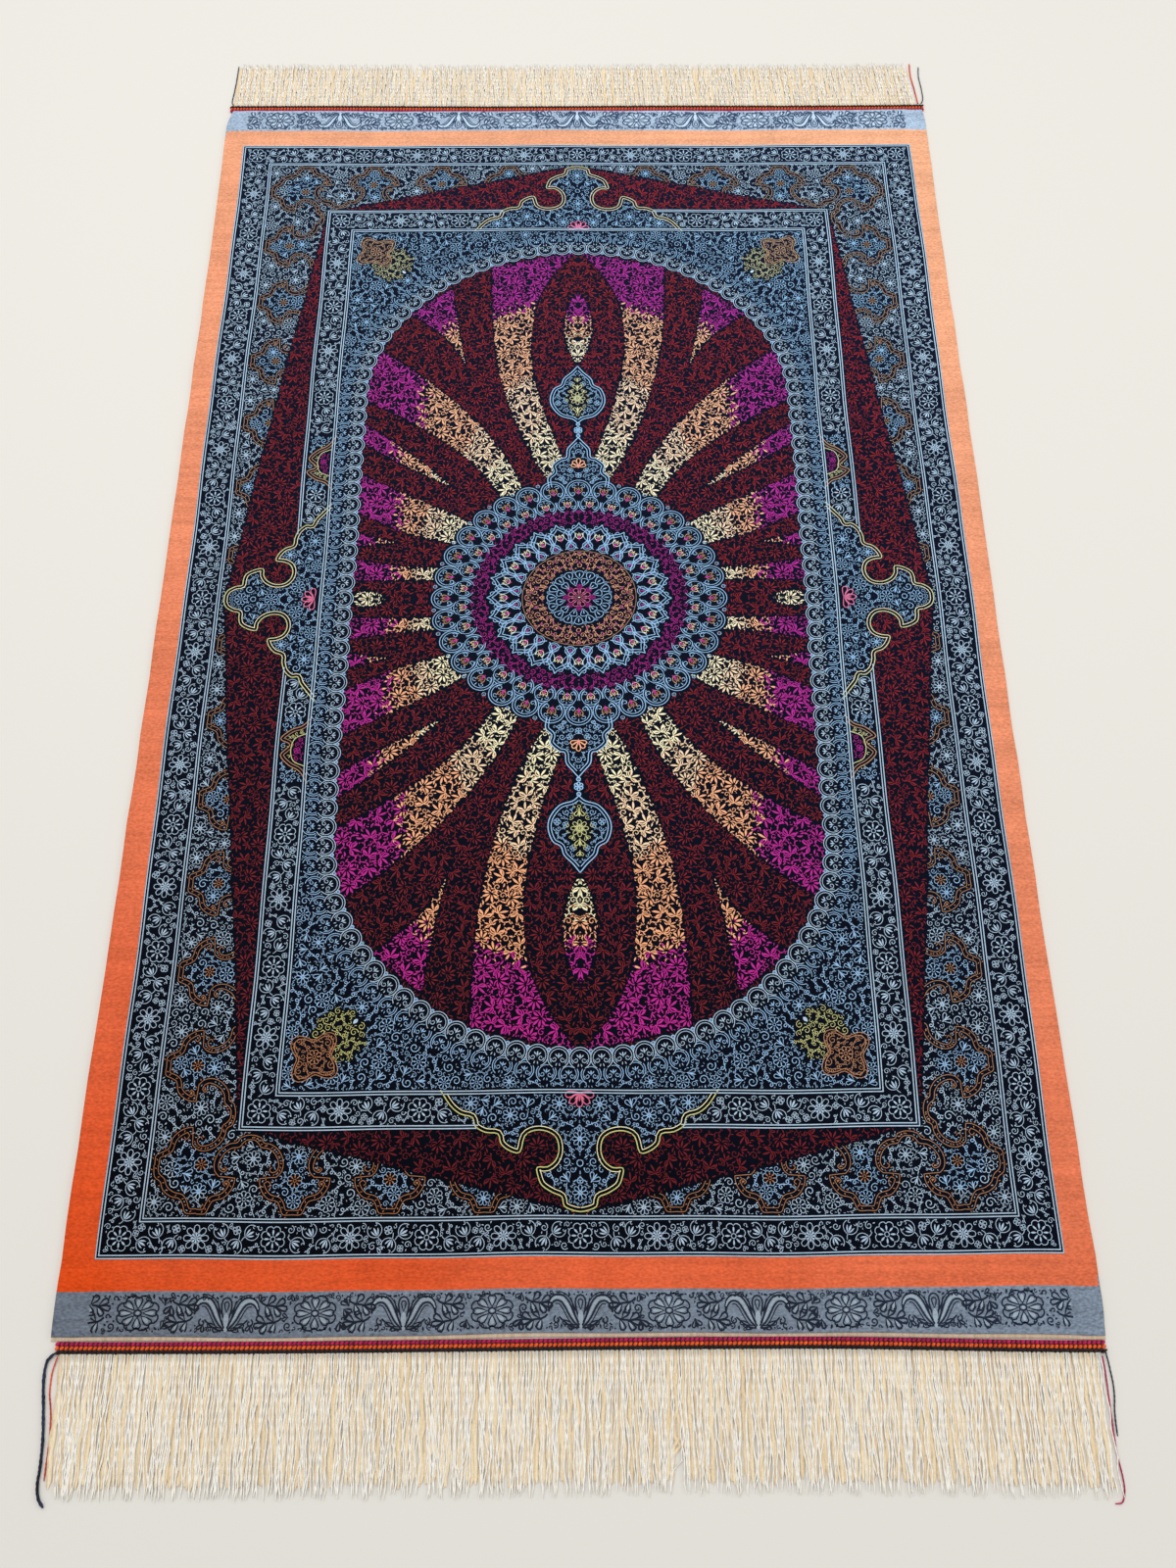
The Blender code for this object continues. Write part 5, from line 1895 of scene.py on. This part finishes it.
@dataclass(frozen=True)
class Fringe:
    """The warp ends beyond the twined rows: plied strands, combed out and a little tangled."""

    name: str
    end: int
    length: float
    roots: tuple[float, float]
    tips: tuple[float, float]
    strands: int
    stations: int
    parting: float | None = None
    radius: float = 0.00062
    group: float = 0.0032

    def build(self, pile: Pile, materials: Sequence[Material]) -> Object:
        """Builds the fringe as one mesh of thin tubes.

        Args:
            pile: the body that it runs along.
            materials: the finishes of the strands on top and of those below, which are darker as painted
                shade.

        Returns:
            The piece.
        """
        count = self.strands
        draw = np.random.default_rng(23 + self.end)
        under = np.arange(count) % 5 < 2
        left, right = self.roots
        spacing = (right - left) / count
        place = np.arange(count) * spacing
        owner = (place / self.group).astype(int)
        root = left + place + np.where(under, 0.3, 1.4) * spacing * draw.uniform(-1, 1, count)
        t = np.linspace(0.0, 1.0, self.stations)[None, :]
        start = TWINED_ROWS[-1].middle(pile, self.end, root) + self.end * 0.5 * TWINED_ROWS[-1].width * 0.6
        drawn = self.tips[0] + (root - left) * (self.tips[1] - self.tips[0]) / (right - left) - root
        lean = 0.0014 * np.sin(owner * 0.9) + 0.0016 * np.sin(owner * 0.37 + 1.0)
        lean *= np.where(under, 0.3, 1.0)
        own = draw.normal(0, 0.0026, count) * np.where(under, 0.2, 1.0)
        sway = drawn[:, None] * t**1.4 + (lean + own)[:, None] * t**1.3
        phase = draw.uniform(0, 2 * math.pi, (count, 3))
        depth = draw.uniform(0.0004, 0.0012, (count, 1))
        wave = depth * np.sin(2 * math.pi * t * draw.uniform(1.6, 3.6, (count, 1)) + phase[:, :1])
        wave += 0.00022 * np.sin(2 * math.pi * t * draw.uniform(5, 8, (count, 1)) + phase[:, 1:2])
        curly = draw.uniform(0, 1, count) < 0.05
        wave += np.where(curly, 0.0026, 0.0)[:, None] * np.sin(2 * math.pi * t * 1.2 + phase[:, 2:]) * t
        x = root[:, None] + sway + wave * np.minimum(1.0, 6 * t)
        if self.parting is not None:
            away = x - self.parting
            x = x + 0.0042 * np.sign(away) * np.exp(-np.abs(away) / 0.012) * t**2
        x = np.clip(x, left - 0.004, right + 0.004)
        reach = self.length * draw.uniform(0.955, 1.0, count) * np.where(under, 0.93, 1.0)
        reach = np.where(draw.uniform(0, 1, count) < 0.06, reach * draw.uniform(0.82, 0.95, count), reach)
        y = start[:, None] + self.end * (reach * np.where(curly, 0.97, 1.0))[:, None] * t
        level = np.where(under, 0.0, 1.0 + 0.6 * draw.uniform(0.0, 1.0, count))[:, None]
        z = self.radius + 0.00012 + 0.0010 * level * (0.75 + 0.25 * np.cos(4 * t + phase[:, :1]))
        z += 0.0007 * np.exp(-t * 14)
        thick = self.radius * np.where(under, 3.7, draw.uniform(0.95, 1.25, count))[:, None]
        thick = thick * (1.0 + 0.12 * np.sin(40 * t + phase[:, :1])) * np.where(t > 0.99, 0.45, 1.0)
        turn = np.where(under[:, None], math.pi / 4, 9.9 * t + phase[:, :1])
        quarters = np.linspace(0, 2 * math.pi, 4, endpoint=False) + turn[..., None]
        px = x[..., None] + thick[..., None] * np.cos(quarters)
        low = np.where(under, 0.4, 1.0)[:, None, None]
        pz = np.maximum(z[..., None] + low * thick[..., None] * np.sin(quarters), 0.00004)
        points = np.stack(np.broadcast_arrays(px + CENTRE.x, y[..., None] + CENTRE.y, pz), axis=3)
        walls = tube_faces(count, self.stations, 4)
        if self.end > 0:
            walls = np.roll(walls[:, ::-1], 1, axis=1)
        foot = np.arange(count)[:, None] * self.stations * 4
        tip = foot + (self.stations - 1) * 4
        caps = [foot + np.arange(4)[:: -self.end], tip + np.arange(4)[:: self.end]]
        # the strands below take the darker finish, painted shade under the strands on top
        slots = np.concatenate([np.repeat(under, (self.stations - 1) * 4), under, under])
        faces = np.concatenate([walls, *caps])
        piece = piece_from(self.name, points.reshape(-1, 3), faces, materials, slots)
        return settle(piece, "fringe", "fringe_near" if self.end < 0 else "fringe_far")


FRINGES = (Fringe("warp_ends_near", -1, 0.0980, (-0.3935, 0.3945), (-0.3915, 0.3940), 780, 16, 0.071),
    Fringe("warp_ends_far", 1, 0.0700, (-0.3945, 0.3915), (-0.3950, 0.3870), 720, 12))


@dataclass(frozen=True)
class Tail:
    """A loose end of the twining yarn, lying on the floor."""

    name: str
    slot: str
    diameter: float
    plies: int
    finish: YarnFinish
    route: tuple[tuple[float, float, float], ...]
    turns: float = 150.0
    clearance: float = 0.00005

    def path(self) -> Points:
        """Points at an even spacing along a smooth curve through the route."""
        line = smooth([Vector(point) + CENTRE for point in self.route], 12)
        line[:, 2] = np.maximum(line[:, 2], 0.5 * self.diameter + self.clearance)
        gone = travelled(line)
        at = np.linspace(0.0, gone[-1], max(12, round(gone[-1] / 0.0011)) + 1)
        return np.stack([np.interp(at, gone, column) for column in line.T], axis=1)

    def build(self) -> None:
        line = self.path()
        ahead = np.gradient(line, axis=0)
        ahead /= np.linalg.norm(ahead, axis=1)[:, None]
        side = np.stack([-ahead[:, 1], ahead[:, 0], np.zeros(len(line))], axis=1)
        side /= np.linalg.norm(side, axis=1)[:, None]
        up = np.cross(ahead, side)
        gone = travelled(line)
        twist = 2 * math.pi * self.turns * gone
        thin = 0.5 * self.diameter * (0.66 if self.plies < 4 else 0.42)
        out = 0.5 * self.diameter - thin
        sides = np.linspace(0, 2 * math.pi, 6, endpoint=False)[None, :, None]
        section = np.cos(sides) * side[:, None, :] + np.sin(sides) * up[:, None, :]
        taper = np.where(gone > gone[-1] - 0.0012, 0.6, 1.0)[:, None, None]
        points, faces = [], []
        for ply in range(self.plies):
            angle = twist + 2 * math.pi * ply / self.plies
            loose = out * (0.72 + 0.28 * np.sin(gone * 420.0 + 2.1 * ply))[:, None]
            centre = line + loose * (np.cos(angle)[:, None] * side + np.sin(angle)[:, None] * up)
            points.append((centre[:, None, :] + taper * thin * section).reshape(-1, 3))
            foot = 6 * len(line) * ply
            tip = foot + 6 * (len(line) - 1)
            faces.append(tube_faces(1, len(line), 6) + foot)
            faces.append(foot + np.array([(3, 2, 1, 0), (5, 4, 3, 0)]))
            faces.append(tip + np.array([(0, 1, 2, 3), (0, 3, 4, 5)]))
        corners = np.concatenate(points)
        corners[:, 2] = np.maximum(corners[:, 2], 0.00003)
        piece = piece_from(f"loose_{self.name}", corners, np.concatenate(faces), [self.finish.make()])
        settle(piece, self.slot, self.name)


DARK_YARN = YarnFinish("tail_dark", (46, 50, 70), (8, 9, 14))
RED_YARN = YarnFinish("tail_red", (232, 96, 56), (176, 48, 34))
PINK_YARN = YarnFinish("tail_pink", (214, 60, 110), (128, 20, 56))
NAVY_YARN = YarnFinish("tail_navy", (52, 60, 92), (8, 10, 18))
TAILS = (Tail("tail_near_left_navy", "tail_dark", 0.0028, 4, NAVY_YARN, ((-0.4000, -0.6550, 0.0022),
    (-0.4046, -0.6610, 0.0018), (-0.4050, -0.6740, 0.0014), (-0.4022, -0.6920, 0.0014), (-0.3994, -0.7120,
    0.0014), (-0.3984, -0.7300, 0.0014), (-0.3986, -0.7420, 0.0014), (-0.3966, -0.7510, 0.0014),
    (-0.3922, -0.7570, 0.0014)), 70.0), Tail("tail_near_left_orange", "tail_red", 0.0014, 2, RED_YARN,
    ((-0.3968, -0.6568, 0.0020), (-0.3996, -0.6680, 0.0009), (-0.3994, -0.6820, 0.0007), (-0.3966, -0.6950,
    0.0007), (-0.3948, -0.7120, 0.0007), (-0.3946, -0.7280, 0.0007), (-0.3945, -0.7400, 0.0007))),
    Tail("tail_near_right_black", "tail_dark", 0.0014, 2, DARK_YARN, ((0.3988, -0.6582, 0.0022),
    (0.4006, -0.6690, 0.0008), (0.4014, -0.6840, 0.0007), (0.3994, -0.7000, 0.0007), (0.3990, -0.7150,
    0.0007))), Tail("tail_near_right_pink", "tail_pink", 0.0014, 2, PINK_YARN, ((0.3958, -0.6606, 0.0020),
    (0.3968, -0.6720, 0.0008), (0.3966, -0.7000, 0.0007), (0.3966, -0.7250, 0.0007), (0.3982, -0.7400,
    0.0007), (0.3984, -0.7500, 0.0007), (0.3956, -0.7580, 0.0007), (0.3902, -0.7590, 0.0007))),
    Tail("tail_far_left_black", "tail_dark", 0.0014, 2, DARK_YARN, ((-0.3966, 0.6552, 0.0022),
    (-0.3992, 0.6620, 0.0010), (-0.3984, 0.6780, 0.0007), (-0.3976, 0.6960, 0.0007), (-0.3972, 0.7200,
    0.0007))), Tail("tail_far_right_black", "tail_dark", 0.0014, 2, DARK_YARN, ((0.3974, 0.6554, 0.0022),
    (0.4008, 0.6650, 0.0009), (0.4008, 0.6820, 0.0007), (0.3996, 0.7010, 0.0007),
    (0.4010, 0.7170, 0.0007))), Tail("tail_far_right_red", "tail_red", 0.0018, 3, RED_YARN,
    ((0.3938, 0.6558, 0.0022), (0.3936, 0.6650, 0.0011), (0.3922, 0.6820, 0.0009), (0.3902, 0.7020, 0.0009),
    (0.3908, 0.7220, 0.0009))))


# Studio


@dataclass(frozen=True)
class Studio:
    """A plain pale floor, soft light and the camera."""

    eye: tuple[float, float, float] = (0.0033, -0.6068, 1.0307)
    sight: tuple[float, float, float] = (0.0040, 0.3735, -0.9276)
    roll: float = 0.33
    lens: float = 28.413
    sky: float = 0.62
    floor_reach: float = 9.0
    panels: tuple[tuple[str, tuple[float, float, float], float, float], ...] = (
        ("panel_over", (-0.5, 0.9, 2.6), 2.4, 37.0),
        ("panel_right", (2.3, 0.3, 1.9), 1.6, 12.0),
    )  # each soft panel's name, place, size and power

    def place(self, name: str, data: bpy.types.ID) -> Object:
        """Puts a new object into the scene."""
        made = bpy.data.objects.new(name, data)
        bpy.context.scene.collection.objects.link(made)
        return made

    def build_camera(self) -> None:
        """Places the camera and makes it the scene's."""
        ahead = Vector(self.sight).normalized()
        right = ahead.cross(Vector((0, 0, 1))).normalized()
        up = right.cross(ahead)
        c, s = math.cos(math.radians(self.roll)), math.sin(math.radians(self.roll))
        data = bpy.data.cameras.new("camera")
        data.lens = self.lens
        data.sensor_width = 36.0
        data.clip_start = 0.02
        camera = self.place("camera", data)
        turn = Matrix((c * right + s * up, c * up - s * right, -ahead)).transposed().to_4x4()
        camera.matrix_world = Matrix.Translation(Vector(self.eye) + CENTRE + Vector((0, 0, PILE_TOP))) @ turn
        bpy.context.scene.camera = camera

    def build_floor(self) -> None:
        """Lays the floor."""
        mesh = bpy.data.meshes.new("floor")
        far = self.floor_reach
        corners = [(-far, -far, 0), (far, -far, 0), (far, far, 0), (-far, far, 0)]
        mesh.from_pydata(corners, [], [(0, 1, 2, 3)])
        material = bpy.data.materials.new("floor_plain")
        material.use_nodes = True
        tree = material.node_tree
        share = add_node(tree, "TexNoise", {"Scale": 1.3}).outputs["Fac"]
        colour = blend(tree, share, linear(228, 225, 217), linear(233, 231, 226))
        for key, value in (("Base Color", colour), ("Roughness", 0.6), ("Specular IOR Level", 0.2)):
            feed(tree, tree.nodes["Principled BSDF"].inputs[key], value)
        mesh.materials.append(material)
        self.place("floor", mesh)

    def build_light(self) -> None:
        """Hangs two large soft panels and sets a pale sky, with screen colours shown as they are."""
        bpy.context.scene.view_settings.view_transform = "Standard"
        world = bpy.data.worlds.new("studio")
        bpy.context.scene.world = world
        world.use_nodes = True
        background = world.node_tree.nodes["Background"]
        background.inputs["Color"].default_value = (1.0, 0.99, 0.975, 1.0)
        background.inputs["Strength"].default_value = self.sky
        for name, place, size, power in self.panels:
            data = bpy.data.lights.new(name, "AREA")
            data.size = size
            data.energy = power
            lamp = self.place(name, data)
            lamp.location = place
            aim = Vector((0.0, 0.1, 0.0)) - Vector(place)
            lamp.rotation_euler = aim.to_track_quat("-Z", "Y").to_euler()


def main() -> None:
    """Builds the rug piece by piece, then the studio."""
    logging.basicConfig(level=logging.INFO, format="%(message)s")
    studio = Studio()
    studio.build_camera()
    for tail in TAILS:
        tail.build()
    pile = Pile()
    body = pile.build()
    # painted shade for the creases between the twined stitches
    core = YarnFinish("twine_painted_shade", (64, 12, 22), (30, 6, 12)).make()
    finishes = [(row.finish.make(), core) for row in TWINED_ROWS]
    laid = [row.build(pile, end, finish) for end in (-1, 1) for row, finish in zip(TWINED_ROWS, finishes)]
    ivory = YarnFinish("warp_ivory", (255, 254, 250), (255, 248, 234), 700.0).make()
    # painted shade: the strands below are tan to stand for the shade under the strands on top
    shaded = YarnFinish("warp_painted_shade", (250, 234, 202), (232, 206, 166), 700.0).make()
    laid += [fringe.build(pile, (ivory, shaded)) for fringe in FRINGES]
    laid += Figuring().build(Design().draw())
    studio.build_floor()
    studio.build_light()


if __name__ == "__main__":
    main()
